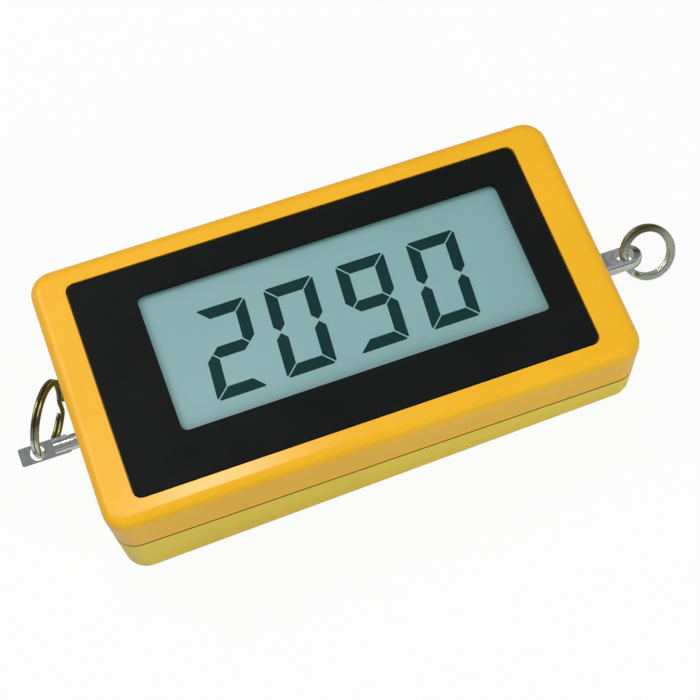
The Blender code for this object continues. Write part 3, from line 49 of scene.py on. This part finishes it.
CASE_LENGTH = 0.1040
CASE_SHIFT = 0.0005
UPPER_HEIGHT = 0.0119
PARTING_GAP = 0.0005
LOWER_LEFT = 0.0161
LOWER_RIGHT = 0.0088
WEDGE = math.atan((LOWER_LEFT - LOWER_RIGHT) / CASE_LENGTH)
MID_HEIGHT = UPPER_HEIGHT + (LOWER_LEFT + LOWER_RIGHT) / 2
ROD_Y = -0.0019
ROD_Z = -0.0153
ROD_WALL_SHIFT = -ROD_Z * math.tan(WEDGE)
LEFT_ROD_REACH = 0.0122
LEFT_HOLE_INSET = 0.0034
RIGHT_ROD_REACH = 0.0115
RIGHT_HOLE_INSET = 0.0036
WALL_MIDDLE_X = CASE_SHIFT + ROD_WALL_SHIFT
LEFT_HOLE_X = WALL_MIDDLE_X - CASE_LENGTH / 2 - LEFT_ROD_REACH + LEFT_HOLE_INSET
RIGHT_HOLE_X = WALL_MIDDLE_X + CASE_LENGTH / 2 + RIGHT_ROD_REACH - RIGHT_HOLE_INSET
GLASS_TOP = -0.0016

# The face frame: origin in the middle of the face, X along it, Z out of it
FACE = (
    Matrix.Translation((MID_HEIGHT * math.sin(WEDGE), 0.0, MID_HEIGHT * math.cos(WEDGE)))
    @ Euler((0.0, WEDGE, 0.0)).to_matrix().to_4x4()
)


# Materials

# Where most of a noise texture's values lie
NOISE_LOW = 0.3
NOISE_HIGH = 0.7
NOISE_ROUGHNESS = 0.55

# The colour sockets of a Mix node, which have the same names as its number sockets
COLOUR_A = 6
COLOUR_B = 7
COLOUR_RESULT = 2

# Scales of the noise in the plastics, in waves to a metre
CLOUDS = 45.0
GLOSS_PATCHES = 160.0

# How far the plastics' roughness swings, and the roughness of the coat
GLOSS_SWING = 0.05
COAT_ROUGHNESS = 0.16

# How far the painted shadow in the groove fades out on both sides of the gap between the shells
PAINTED_GROOVE_SHADOW_EDGE = 0.0001

# How deep the metals' marks are, and how far they swing the roughness
MARK_DEPTH = 0.000004
MARK_SMOOTHER = 0.04
MARK_ROUGHER = 0.08

# The levels of Y between which the painted dark reflection on the far side of the rings sets in
DARK_REFLECTION_START = -0.0015
DARK_REFLECTION_END = 0.0012


def new_material(name):
    """Return a material, its node tree and its Principled shader."""
    material = bpy.data.materials.new(name)
    material.use_nodes = True
    tree = material.node_tree
    return material, tree, tree.nodes["Principled BSDF"]


def noise(tree, scale, detail, stretch=(1.0, 1.0, 1.0)):
    """Return a noise texture on the object's own coordinates."""
    place = tree.nodes.new("ShaderNodeTexCoord")
    mapping = tree.nodes.new("ShaderNodeMapping")
    mapping.inputs["Scale"].default_value = stretch
    texture = tree.nodes.new("ShaderNodeTexNoise")
    texture.inputs["Scale"].default_value = scale
    texture.inputs["Detail"].default_value = detail
    texture.inputs["Roughness"].default_value = NOISE_ROUGHNESS
    tree.links.new(place.outputs["Object"], mapping.inputs["Vector"])
    tree.links.new(mapping.outputs["Vector"], texture.inputs["Vector"])
    return texture.outputs["Fac"]


def spread(tree, value, low, high):
    """Stretch the usual values of a noise texture to low..high."""
    mapper = tree.nodes.new("ShaderNodeMapRange")
    mapper.inputs["From Min"].default_value = NOISE_LOW
    mapper.inputs["From Max"].default_value = NOISE_HIGH
    mapper.inputs["To Min"].default_value = low
    mapper.inputs["To Max"].default_value = high
    tree.links.new(value, mapper.inputs["Value"])
    return mapper.outputs["Result"]


def blend_colours(tree, factor, first, second):
    """Mix two colours, each a tuple or a socket."""
    mix = tree.nodes.new("ShaderNodeMix")
    mix.data_type = "RGBA"
    tree.links.new(factor, mix.inputs["Factor"])
    for socket, colour in ((mix.inputs[COLOUR_A], first), (mix.inputs[COLOUR_B], second)):
        if isinstance(colour, tuple):
            socket.default_value = (*colour, 1.0)
        else:
            tree.links.new(colour, socket)
    return mix.outputs[COLOUR_RESULT]


def bump(tree, shader, height, depth):
    """Raise the surface by a height texture, depth in metres."""
    node = tree.nodes.new("ShaderNodeBump")
    node.inputs["Distance"].default_value = depth
    tree.links.new(height, node.inputs["Height"])
    tree.links.new(node.outputs["Normal"], shader.inputs["Normal"])


# Mask for the painted shadow in the gap between the shells
def away_from_parting(tree):
    """Return 0 close to the plane where the two shells meet and 1 away from it."""
    place = tree.nodes.new("ShaderNodeTexCoord")
    level = tree.nodes.new("ShaderNodeVectorMath")
    level.operation = "DOT_PRODUCT"
    level.inputs[1].default_value = (math.sin(WEDGE), 0.0, math.cos(WEDGE))
    above = tree.nodes.new("ShaderNodeMath")
    above.operation = "SUBTRACT"
    above.inputs[1].default_value = MID_HEIGHT - UPPER_HEIGHT - PARTING_GAP / 2
    distance = tree.nodes.new("ShaderNodeMath")
    distance.operation = "ABSOLUTE"
    mapper = tree.nodes.new("ShaderNodeMapRange")
    mapper.inputs["From Min"].default_value = PARTING_GAP / 2
    mapper.inputs["From Max"].default_value = PARTING_GAP / 2 + PAINTED_GROOVE_SHADOW_EDGE
    tree.links.new(place.outputs["Object"], level.inputs[0])
    tree.links.new(level.outputs["Value"], above.inputs[0])
    tree.links.new(above.outputs[0], distance.inputs[0])
    tree.links.new(distance.outputs[0], mapper.inputs["Value"])
    return mapper.outputs["Result"]


def moulded(name, colour, shade, roughness, grain=9000.0, depth=0.000004, specular=0.5,
            groove_shadow=None, coat=0.0):
    """Moulded plastic: a cloudy tint, a fine spark-eroded grain and uneven gloss.

    The groove shadow is a brown painted shadow along the line where the two shells meet.
    """
    material, tree, shader = new_material(name)
    cloud = noise(tree, CLOUDS, 4.0)
    tint = blend_colours(tree, spread(tree, cloud, 0.0, 1.0), colour, shade)
    # Painted shadow: the tint turns brown in the gap between the shells
    if groove_shadow:
        tint = blend_colours(tree, away_from_parting(tree), groove_shadow, tint)
    shader.inputs["Coat Weight"].default_value = coat
    shader.inputs["Coat Roughness"].default_value = COAT_ROUGHNESS
    tree.links.new(tint, shader.inputs["Base Color"])
    patches = noise(tree, GLOSS_PATCHES, 5.0)
    tree.links.new(
        spread(tree, patches, roughness - GLOSS_SWING, roughness + GLOSS_SWING),
        shader.inputs["Roughness"],
    )
    shader.inputs["Specular IOR Level"].default_value = specular
    bump(tree, shader, noise(tree, grain, 2.0), depth)
    return material


# Mask for the painted dark reflection on the far side of the rings
def toward_far_side(tree):
    """Return 0 on the reader's side of the rods and 1 on the far side."""
    place = tree.nodes.new("ShaderNodeTexCoord")
    split = tree.nodes.new("ShaderNodeSeparateXYZ")
    mapper = tree.nodes.new("ShaderNodeMapRange")
    mapper.inputs["From Min"].default_value = DARK_REFLECTION_START
    mapper.inputs["From Max"].default_value = DARK_REFLECTION_END
    tree.links.new(place.outputs["Object"], split.inputs[0])
    tree.links.new(split.outputs["Y"], mapper.inputs["Value"])
    return mapper.outputs["Result"]


def plated(name, colour, shade, roughness, stretch=(1.0, 1.0, 1.0), scale=700.0, painted_dark_reflection=None):
    """Bright metal with faint handling marks, drawn out along a stretch.

    The painted dark reflection is a dark tint painted on the far side of the rings, standing in for the
    dark surroundings mirrored there.
    """
    material, tree, shader = new_material(name)
    marks = noise(tree, scale, 5.0, stretch)
    tint = blend_colours(tree, spread(tree, marks, 0.0, 1.0), colour, shade)
    # Painted dark reflection: the far side is blended to a dark tint
    if painted_dark_reflection:
        tint = blend_colours(tree, toward_far_side(tree), tint, painted_dark_reflection)
    tree.links.new(tint, shader.inputs["Base Color"])
    shader.inputs["Metallic"].default_value = 1.0
    tree.links.new(
        spread(tree, noise(tree, scale * 2, 4.0, stretch),
               roughness - MARK_SMOOTHER, roughness + MARK_ROUGHER),
        shader.inputs["Roughness"],
    )
    bump(tree, shader, marks, MARK_DEPTH)
    return material


TEAL = (0.235, 0.425, 0.45)
TEAL_PALE = (0.265, 0.455, 0.485)
HAZE = (0.05, 0.09, 0.09)
HAZE_PALE = (0.08, 0.12, 0.12)


def display_material():
    """Teal-grey liquid crystal cell with paler clouds and a satin surface."""
    material, tree, shader = new_material("display_cell")
    cloud = noise(tree, 30.0, 2.0)
    tint = blend_colours(tree, spread(tree, cloud, 0.0, 1.0), TEAL, TEAL_PALE)
    tree.links.new(tint, shader.inputs["Base Color"])
    tree.links.new(spread(tree, noise(tree, 2600.0, 2.0), 0.3, 0.42), shader.inputs["Roughness"])
    shader.inputs["Specular IOR Level"].default_value = 0.35
    bump(tree, shader, noise(tree, 3200.0, 2.0), 0.000002)
    return material


def lens_material():
    """Clear acrylic: mostly see-through, with gloss and a trace of haze."""
    material, tree, shader = new_material("lens_clear")
    haze = noise(tree, 60.0, 4.0)
    tint = blend_colours(tree, spread(tree, haze, 0.0, 1.0), HAZE, HAZE_PALE)
    tree.links.new(tint, shader.inputs["Base Color"])
    shader.inputs["Alpha"].default_value = 0.03
    tree.links.new(spread(tree, noise(tree, 240.0, 4.0), 0.05, 0.1), shader.inputs["Roughness"])
    shader.inputs["Specular IOR Level"].default_value = 0.12
    return material


# Brown of the painted shadow in the gap between the two shells
PAINTED_GROOVE_SHADOW = (0.20, 0.10, 0.006)
YELLOW = moulded("case_abs_yellow", (0.88, 0.435, 0.012), (0.92, 0.465, 0.017), 0.4,
                 specular=0.15, groove_shadow=PAINTED_GROOVE_SHADOW, coat=0.25)
# Paler, greener copy of the case yellow for the rear shell and battery cover: painted light from the
# floor on the lower walls
YELLOW_PAINTED_FLOOR_LIGHT = moulded("case_abs_lower", (0.82, 0.57, 0.055), (0.86, 0.60, 0.065), 0.4,
                       specular=0.2, groove_shadow=PAINTED_GROOVE_SHADOW)
BLACK = moulded("panel_satin_black", (0.006, 0.007, 0.007), (0.009, 0.010, 0.010), 0.5,
                grain=5200.0, depth=0.000006, specular=0.05)
INK = moulded("segment_ink", (0.003, 0.030, 0.031), (0.005, 0.037, 0.038), 0.5, specular=0.05)
DISPLAY = display_material()
LENS = lens_material()
CHROME = plated("nickel_chrome", (0.66, 0.67, 0.69), (0.78, 0.79, 0.8), 0.17)
# Painted dark reflection: the far side of the rings is tinted dark olive
RING_STEEL = plated("ring_spring_steel", (0.62, 0.68, 0.56), (0.74, 0.80, 0.68), 0.22, scale=900.0,
                    painted_dark_reflection=(0.17, 0.16, 0.07))
STEEL = plated("screw_steel", (0.5, 0.5, 0.5), (0.62, 0.62, 0.61), 0.28)
ALUMINIUM = plated("milled_aluminium", (0.66, 0.67, 0.69), (0.74, 0.75, 0.76), 0.32,
                   stretch=(1.0, 14.0, 14.0))
SILVER = plated("reflector_film", (0.7, 0.7, 0.69), (0.78, 0.78, 0.77), 0.26)
TIN = plated("tinned_can", (0.6, 0.6, 0.58), (0.72, 0.72, 0.7), 0.3)
BRASS = plated("contact_brass", (0.68, 0.48, 0.18), (0.78, 0.58, 0.28), 0.25)
WHITE = moulded("frame_white", (0.75, 0.75, 0.72), (0.82, 0.82, 0.79), 0.45)
RUBBER = moulded("soft_rubber", (0.014, 0.014, 0.014), (0.025, 0.025, 0.025), 0.8,
                 grain=3000.0, depth=0.00001)
CHIP = moulded("chip_epoxy", (0.018, 0.018, 0.02), (0.028, 0.028, 0.03), 0.6)
CERAMIC = moulded("capacitor_ceramic", (0.4, 0.29, 0.17), (0.47, 0.35, 0.22), 0.45)
NYLON = moulded("bush_nylon", (0.72, 0.71, 0.64), (0.8, 0.79, 0.72), 0.45)
FOIL = moulded("gauge_foil", (0.7, 0.4, 0.12), (0.78, 0.47, 0.16), 0.35)
GREY_LEAD = moulded("lead_grey_pvc", (0.2, 0.2, 0.22), (0.26, 0.26, 0.28), 0.55)
RED_LEAD = moulded("lead_red_pvc", (0.5, 0.02, 0.015), (0.6, 0.04, 0.03), 0.5)
BOARD = moulded("board_solder_mask", (0.015, 0.13, 0.05), (0.02, 0.18, 0.07), 0.4)
BUTTON = moulded("button_black", (0.02, 0.02, 0.022), (0.032, 0.032, 0.035), 0.5,
                 grain=4200.0, depth=0.000008)


# Mesh helpers

SMOOTH_ANGLE = 35.0
BEVEL_ANGLE = 40.0
FLAT_ANGLE = 0.5
MERGE_DISTANCE = 0.000002


def piece_from(name, build, material, matrix=None):
    """Return an object at the origin from a bmesh, placed by its mesh if there is a matrix."""
    mesh = bpy.data.meshes.new(name)
    build.to_mesh(mesh)
    build.free()
    if matrix:
        mesh.transform(matrix)
    mesh.materials.append(material)
    piece = bpy.data.objects.new(name, mesh)
    bpy.context.scene.collection.objects.link(piece)
    return piece


def apply_modifiers(piece):
    """Replace a piece's mesh with what its modifiers make of it."""
    bpy.context.view_layer.update()
    graph = bpy.context.evaluated_depsgraph_get()
    mesh = bpy.data.meshes.new_from_object(piece.evaluated_get(graph))
    piece.modifiers.clear()
    old = piece.data
    piece.data = mesh
    bpy.data.meshes.remove(old)
    mesh.name = piece.name


def settle(piece, smooth=SMOOTH_ANGLE):
    """Apply a piece's modifiers and shade it smooth over its soft edges."""
    apply_modifiers(piece)
    piece.data.shade_smooth()
    piece.data.set_sharp_from_angle(angle=math.radians(smooth))


def flatten(piece):
    """Give the large faces of a settled piece their own normals, so that only edges bend."""
    modifier = piece.modifiers.new("normals", "WEIGHTED_NORMAL")
    modifier.keep_sharp = True
    apply_modifiers(piece)


def soften(piece, width, steps):
    """Round the sharp edges of a piece."""
    modifier = piece.modifiers.new("edge", "BEVEL")
    modifier.width = width
    modifier.segments = steps
    modifier.limit_method = "ANGLE"
    modifier.angle_limit = math.radians(BEVEL_ANGLE)
    modifier.harden_normals = False


def dressed(node, name, material, edge, steps=2):
    """Put a merged, rounded and smooth-shaded copy in place of a CAD node."""
    build = bmesh.new()
    build.from_mesh(nodes[node].data)
    bmesh.ops.remove_doubles(build, verts=build.verts, dist=MERGE_DISTANCE)
    bmesh.ops.dissolve_limit(
        build, angle_limit=math.radians(FLAT_ANGLE), verts=build.verts, edges=build.edges
    )
    piece = piece_from(name, build, material)
    soften(piece, edge, steps)
    settle(piece)
    flatten(piece)
    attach(piece, node_body(node))
    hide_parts(node)


def node_body(node):
    """Return the name of the body a CAD node belongs to."""
    for body, members in frame["record"]["behaviour"]["bodies"].items():
        if node in members:
            return body
    return "case"


def repeated(name, unit, spots, turns, material, scale=1.0):
    """Set copies of a unit object on spots with Geometry Nodes and return one plain mesh."""
    points = bpy.data.meshes.new(f"{name}_points")
    points.from_pydata(spots, [], [])
    turn = points.attributes.new("turn", "FLOAT_VECTOR", "POINT")
    for entry, value in zip(turn.data, turns):
        entry.vector = value
    carrier = bpy.data.objects.new(name, points)
    bpy.context.scene.collection.objects.link(carrier)
    tree = bpy.data.node_groups.new(f"{name}_tree", "GeometryNodeTree")
    face = tree.interface
    face.new_socket("Points", in_out="INPUT", socket_type="NodeSocketGeometry")
    unit_socket = face.new_socket("Unit", in_out="INPUT", socket_type="NodeSocketObject")
    size_socket = face.new_socket("Size", in_out="INPUT", socket_type="NodeSocketFloat")
    finish_socket = face.new_socket("Finish", in_out="INPUT", socket_type="NodeSocketMaterial")
    face.new_socket("Result", in_out="OUTPUT", socket_type="NodeSocketGeometry")
    start = tree.nodes.new("NodeGroupInput")
    end = tree.nodes.new("NodeGroupOutput")
    source = tree.nodes.new("GeometryNodeObjectInfo")
    copies = tree.nodes.new("GeometryNodeInstanceOnPoints")
    named = tree.nodes.new("GeometryNodeInputNamedAttribute")
    named.data_type = "FLOAT_VECTOR"
    named.inputs["Name"].default_value = "turn"
    angle = tree.nodes.new("FunctionNodeEulerToRotation")
    real = tree.nodes.new("GeometryNodeRealizeInstances")
    finish = tree.nodes.new("GeometryNodeSetMaterial")
    link = tree.links.new
    link(start.outputs["Points"], copies.inputs["Points"])
    link(start.outputs["Unit"], source.inputs["Object"])
    link(source.outputs["Geometry"], copies.inputs["Instance"])
    link(named.outputs["Attribute"], angle.inputs[0])
    link(angle.outputs[0], copies.inputs["Rotation"])
    link(start.outputs["Size"], copies.inputs["Scale"])
    link(copies.outputs["Instances"], real.inputs["Geometry"])
    link(real.outputs["Geometry"], finish.inputs["Geometry"])
    link(start.outputs["Finish"], finish.inputs["Material"])
    link(finish.outputs["Geometry"], end.inputs["Result"])
    modifier = carrier.modifiers.new("repeat", "NODES")
    modifier.node_group = tree
    modifier[unit_socket.identifier] = unit
    modifier[size_socket.identifier] = scale
    modifier[finish_socket.identifier] = material
    settle(carrier)
    bpy.data.objects.remove(unit)
    return carrier


# Digits

DIGIT_HEIGHT = 0.0184
DIGIT_WIDTH = 0.00975
DIGIT_MIDDLES = (-0.0196, -0.0062, 0.0081, 0.0224)
DIGIT_Y = 0.0004
DIGIT_SLANT = 4.8
DIGIT_CORNER = 0.0006
SEGMENT_WIDTH = 0.0023
SEGMENT_GAP = 0.00024
SEGMENT_TOP = GLASS_TOP - 0.00003
SEGMENT_LOW = GLASS_TOP - 0.00023
SEGMENT_PLAY = 0.00003
READING = (2, 0, 9, 0)
LIT_SEGMENTS = {0: "abcdef", 2: "abdeg", 9: "abcdfg"}


def bar_outlines():
    """Return the outline of each shape of segment round a digit's middle."""
    x = DIGIT_WIDTH / 2 - SEGMENT_PLAY
    y = DIGIT_HEIGHT / 2 - SEGMENT_PLAY
    width = SEGMENT_WIDTH - 2 * SEGMENT_PLAY
    half = width / 2
    off = SEGMENT_GAP / math.sqrt(2) + SEGMENT_PLAY
    near = (DIGIT_CORNER - off) / 2
    far = (DIGIT_CORNER + off) / 2
    top = [(x - DIGIT_CORNER, y), (x - far, y - near), (x - width - off, y - width)]
    side = [(x, y - DIGIT_CORNER), (x - near, y - far), (x - width, y - width - off),
            (x - width, half + off), (x - half, off), (x, half + off)]
    middle = [(x - width - off, half), (x - half - off, 0.0), (x - width - off, -half)]
    return {
        "top": top + [(-u, v) for u, v in reversed(top)],
        "right": side,
        "left": [(-u, v) for u, v in side],
        "middle": middle + [(-u, v) for u, v in reversed(middle)],
    }


def bar_unit(name, outline):
    """Return one slanted display segment, placed round the middle of its digit."""
    slant = math.tan(math.radians(DIGIT_SLANT))
    build = bmesh.new()
    face = build.faces.new([build.verts.new((x + slant * y, y, 0.0)) for x, y in outline])
    grown = bmesh.ops.extrude_face_region(build, geom=[face])
    top = [item for item in grown["geom"] if isinstance(item, bmesh.types.BMVert)]
    bmesh.ops.translate(build, vec=(0.0, 0.0, SEGMENT_TOP - SEGMENT_LOW), verts=top)
    bmesh.ops.recalc_face_normals(build, faces=build.faces)
    return piece_from(name, build, INK)


# Each shape of segment serves one letter as it is and another after half a turn
LETTERS = {"top": "ad", "right": "be", "left": "fc", "middle": "g"}


def make_digits():
    """Make the lit segments of the reading, one mesh for each shape of segment."""
    for shape, outline in bar_outlines().items():
        spots = []
        turns = []
        for middle, numeral in zip(DIGIT_MIDDLES, READING):
            for half_turns, letter in enumerate(LETTERS[shape]):
                if letter in LIT_SEGMENTS[numeral]:
                    spots.append((middle, DIGIT_Y, SEGMENT_LOW))
                    turns.append((0.0, 0.0, math.pi * half_turns))
        name = f"display_segments_{shape}"
        piece = repeated(name, bar_unit(f"{name}_unit", outline), spots, turns, INK)
        piece.data.transform(FACE)
        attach(piece, "case")


make_digits()


# Rings and rods

RING_WIRE_HEIGHT = 0.00072
RING_TURN_GAP = 0.0001
RING_TURNS = 2
RING_RAMP = 11.0
RING_STEPS = 240
RING_SIDES = 16
RING_SMOOTH_ANGLE = 50.0

# How square the wire's section is: 1 is an ellipse and 0 a rectangle
RING_SQUARENESS = 0.55

# How much thinner the wire's end is, and over how many steps
RING_END_TAPER = 0.35
RING_END_STEPS = 2


def wire_section(width):
    """Return the points round a flat wire with rounded edges, across it and up."""
    def rounded(value, size):
        return math.copysign(abs(value) ** RING_SQUARENESS, value) * size / 2

    angles = [2 * math.pi * side / RING_SIDES for side in range(RING_SIDES)]
    return [
        (rounded(math.cos(angle), width), rounded(math.sin(angle), RING_WIRE_HEIGHT))
        for angle in angles
    ]


def wire_coil(diameter, width, start):
    """Return a bmesh of flat wire in two turns through the origin, begun at an angle in degrees."""
    mean = (diameter - width) / 2
    ramp = math.radians(RING_RAMP)
    full = 2 * math.pi
    sweep = RING_TURNS * full - 2 * ramp
    section = wire_section(width)
    build = bmesh.new()
    rows = []
    for step in range(RING_STEPS + 1):
        angle = ramp + sweep * step / RING_STEPS
        share = min(max((angle - full + ramp) / (2 * ramp), 0.0), 1.0)
        rise = (share * share * (3 - 2 * share) - 0.5) * (RING_WIRE_HEIGHT + RING_TURN_GAP)
        way = math.radians(start) + angle
        out = Vector((-math.cos(way), math.sin(way), 0.0))
        to_end = min(step, RING_STEPS - step)
        taper = 1.0 - RING_END_TAPER * max(0.0, 1.0 - to_end / RING_END_STEPS)
        middle = Vector((mean, 0.0, rise))
        rows.append([
            build.verts.new(middle + out * (mean + u * taper) + Vector((0.0, 0.0, v * taper)))
            for u, v in section
        ])
    for first, second in zip(rows, rows[1:]):
        for side in range(RING_SIDES):
            after = (side + 1) % RING_SIDES
            build.faces.new((first[side], first[after], second[after], second[side]))
    build.faces.new(rows[0])
    build.faces.new(list(reversed(rows[-1])))
    bmesh.ops.recalc_face_normals(build, faces=build.faces)
    return build


def split_ring(node, diameter, width, start, hole_x, roll, pose):
    """Put a split ring in place of a CAD ring, hung in its hole, with angles in degrees."""
    place = (
        FACE @ Matrix.Translation((hole_x, ROD_Y, ROD_Z))
        @ Euler((math.radians(roll), 0.0, 0.0)).to_matrix().to_4x4()
        @ Euler([math.radians(angle) for angle in pose]).to_matrix().to_4x4()
    )
    piece = piece_from(f"{node}_wire", wire_coil(diameter, width, start), RING_STEEL, place)
    settle(piece, RING_SMOOTH_ANGLE)
    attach(piece, node)
    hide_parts(node)


split_ring("split_ring_left", diameter=0.0153, width=0.0011, start=225.0,
           hole_x=LEFT_HOLE_X, roll=20.0, pose=(73.2, 19.8, 56.0))
split_ring("split_ring_right", diameter=0.0114, width=0.0015, start=315.0,
           hole_x=RIGHT_HOLE_X, roll=-21.0, pose=(60.0, 0.0, -3.0))

dressed("eye_rod_left", "eye_rod_left_turned", CHROME, edge=0.00012)
dressed("eye_rod_right", "eye_rod_right_turned", CHROME, edge=0.00012)

# Case and panel

dressed("front_shell", "front_shell_moulding", YELLOW, edge=0.0002)
dressed("rear_shell", "rear_shell_moulding", YELLOW_PAINTED_FLOOR_LIGHT, edge=0.00018)
dressed("bezel_plate", "bezel_plate_panel", BLACK, edge=0.00015)
dressed("window_lens", "window_lens_acrylic", LENS, edge=0.00012)
dressed("battery_cover", "battery_cover_moulding", YELLOW_PAINTED_FLOOR_LIGHT, edge=0.00015)
dressed("power_button", "power_button_cap", BUTTON, edge=0.00025, steps=3)
dressed("unit_button", "unit_button_cap", BUTTON, edge=0.00025, steps=3)
dressed("rod_bush_left", "rod_bush_left_turned", NYLON, edge=0.0001)
dressed("rod_bush_right", "rod_bush_right_turned", NYLON, edge=0.0001)

# CAD nodes that keep their shape

FINISHES = {
    "lcd_glass": DISPLAY, "lcd_reflector": SILVER, "lcd_frame": WHITE,
    "load_cell_socket": WHITE, "battery_socket": WHITE, "zebra_strip_near": RUBBER,
    "zebra_strip_far": RUBBER, "battery_seal": RUBBER, "battery_lead_minus": RUBBER,
    "main_board": BOARD, "microcontroller": CHIP, "converter_chip": CHIP, "resistor_1": CHIP,
    "resistor_2": CHIP, "power_switch": CHIP, "unit_switch": CHIP, "crystal": TIN,
    "capacitor_1": CERAMIC, "capacitor_2": CERAMIC, "coin_cell": STEEL,
    "rod_lock_nut_left": STEEL, "rod_lock_nut_right": STEEL, "load_cell": ALUMINIUM,
    "battery_contact_centre": BRASS, "battery_contact_rim": BRASS, "load_cell_lead": GREY_LEAD,
    "battery_lead_plus": RED_LEAD,
}
for node, piece in nodes.items():
    finish = FINISHES.get(node)
    if not finish and "screw" in node:
        finish = STEEL
    if not finish and "gauge" in node:
        finish = FOIL
    if finish:
        piece.data.materials.clear()
        piece.data.materials.append(finish)


# Floor, lights and camera

FLOOR_SIZE = 3.0
FLOOR_DROP = 0.0002
PAPER = (0.62, 0.64, 0.62)
PAPER_ROUGHNESS = 0.9
WHITE_LIGHT = (1.0, 1.0, 1.0)

# The light that comes evenly from all round
SURROUNDING_LIGHT = 0.3

# How bright the surroundings look in reflections, by the height of the direction
BAND_LOWEST = (0.02, 0.02, 0.02)
BAND_HIGHEST = (0.25, 0.27, 0.26)
BANDS = (
    (0.14, 0.03), (0.2, 0.5), (0.34, 0.5), (0.4, 0.1), (0.47, 0.5), (0.6, 0.5), (0.68, 0.06),
    (0.78, 0.3), (0.88, 0.27),
)

# The photograph's camera in the face frame: its place and its three directions
CAMERA_SPOT = (-0.047565, -0.117135, 0.28122)
CAMERA_RIGHT = Vector((0.93729, -0.3476, 0.02556))
CAMERA_DOWN = Vector((-0.31083, -0.86681, -0.38989))
CAMERA_FORWARD = Vector((0.15768, 0.3575, -0.92051))
CAMERA_LENS = 85.63
CAMERA_SENSOR = 36.0


def ray_share(tree, path, shares, rest=0.0):
    """Return a value that depends on the kind of ray, for kinds that exclude each other."""
    value = None
    for kind, share in shares.items():
        step = tree.nodes.new("ShaderNodeMath")
        step.operation = "MULTIPLY_ADD"
        tree.links.new(path.outputs[kind], step.inputs[0])
        step.inputs[1].default_value = share - rest
        step.inputs[2].default_value = rest
        if value:
            tree.links.new(value, step.inputs[2])
        value = step.outputs[0]
    return value


def pale_surface(name, brightness, in_gloss):
    """Pale stage surface that looks white to the camera and dimmer in reflections."""
    material, tree, shader = new_material(name)
    shader.inputs["Base Color"].default_value = (*PAPER, 1.0)
    shader.inputs["Roughness"].default_value = PAPER_ROUGHNESS
    output = tree.nodes["Material Output"]
    path = tree.nodes.new("ShaderNodeLightPath")
    glow = tree.nodes.new("ShaderNodeEmission")
    glow.inputs["Color"].default_value = (*WHITE_LIGHT, 1.0)
    mix = tree.nodes.new("ShaderNodeMixShader")
    share = ray_share(tree, path, {
        "Is Camera Ray": brightness, "Is Transmission Ray": brightness, "Is Glossy Ray": in_gloss,
    })
    tree.links.new(share, mix.inputs["Fac"])
    tree.links.new(shader.outputs[0], mix.inputs[1])
    tree.links.new(glow.outputs[0], mix.inputs[2])
    tree.links.new(mix.outputs[0], output.inputs["Surface"])
    return material


def make_stage():
    """Make the floor."""
    build = bmesh.new()
    bmesh.ops.create_grid(build, x_segments=2, y_segments=2, size=FLOOR_SIZE)
    paper = pale_surface("studio_floor_paper", brightness=0.94, in_gloss=0.15)
    floor = piece_from("studio_floor", build, paper)
    floor.location.z = -FLOOR_DROP


def make_world():
    """Light evenly from all round, with bands for the metal to reflect and white behind."""
    world = bpy.data.worlds.new("studio_world")
    bpy.context.scene.world = world
    world.use_nodes = True
    tree = world.node_tree
    sky = tree.nodes["Background"]
    sky.inputs["Color"].default_value = (*WHITE_LIGHT, 1.0)
    place = tree.nodes.new("ShaderNodeTexCoord")
    split = tree.nodes.new("ShaderNodeSeparateXYZ")
    bands = tree.nodes.new("ShaderNodeValToRGB")
    tree.links.new(place.outputs["Generated"], split.inputs[0])
    tree.links.new(split.outputs["Z"], bands.inputs["Fac"])
    ramp = bands.color_ramp
    ramp.elements[0].color = (*BAND_LOWEST, 1.0)
    ramp.elements[1].color = (*BAND_HIGHEST, 1.0)
    for position, level in BANDS:
        ramp.elements.new(position).color = (level, level, level, 1.0)
    path = tree.nodes.new("ShaderNodeLightPath")
    white = {"Is Camera Ray": 1.0, "Is Transmission Ray": 1.0}
    even = ray_share(tree, path, white, SURROUNDING_LIGHT)
    level = tree.nodes.new("ShaderNodeMix")
    tree.links.new(path.outputs["Is Glossy Ray"], level.inputs["Factor"])
    tree.links.new(even, level.inputs["A"])
    tree.links.new(bands.outputs["Color"], level.inputs["B"])
    tree.links.new(level.outputs["Result"], sky.inputs["Strength"])


def area_light(name, spot, size, power, target=(0.0, 0.0, 0.0), colour=WHITE_LIGHT, mirrored=True):
    """Add a soft square light that points at a target and shows in reflections if mirrored."""
    data = bpy.data.lights.new(name, "AREA")
    data.shape = "SQUARE"
    data.size = size
    data.energy = power
    data.color = colour
    lamp = bpy.data.objects.new(name, data)
    lamp.location = spot
    lamp.visible_glossy = mirrored
    way = Vector(target) - Vector(spot)
    lamp.rotation_euler = way.to_track_quat("-Z", "Y").to_euler()
    bpy.context.scene.collection.objects.link(lamp)


def make_camera():
    """Stand the camera where the photograph was taken from."""
    turn = Matrix((CAMERA_RIGHT, -CAMERA_DOWN, -CAMERA_FORWARD)).transposed().to_4x4()
    data = bpy.data.cameras.new("photo_camera")
    data.sensor_width = CAMERA_SENSOR
    data.lens = CAMERA_LENS
    data.clip_start = 0.01
    data.clip_end = 10.0
    camera = bpy.data.objects.new("photo_camera", data)
    camera.matrix_world = FACE @ Matrix.Translation(CAMERA_SPOT) @ turn
    bpy.context.scene.collection.objects.link(camera)
    bpy.context.scene.camera = camera


make_stage()
make_world()
area_light("key_light", spot=(-0.30, 0.25, 0.6), size=0.45, power=2.6)
area_light("sheen_light", spot=(0.045, 0.155, 0.594), size=0.06, power=0.45, target=(-0.03, -0.02, 0.0))
area_light("fill_light", spot=(0.3, -0.5, 0.35), size=0.5, power=2.4, colour=(0.85, 1.0, 0.84),
           mirrored=False)
make_camera()
bpy.context.scene.view_settings.view_transform = "Standard"
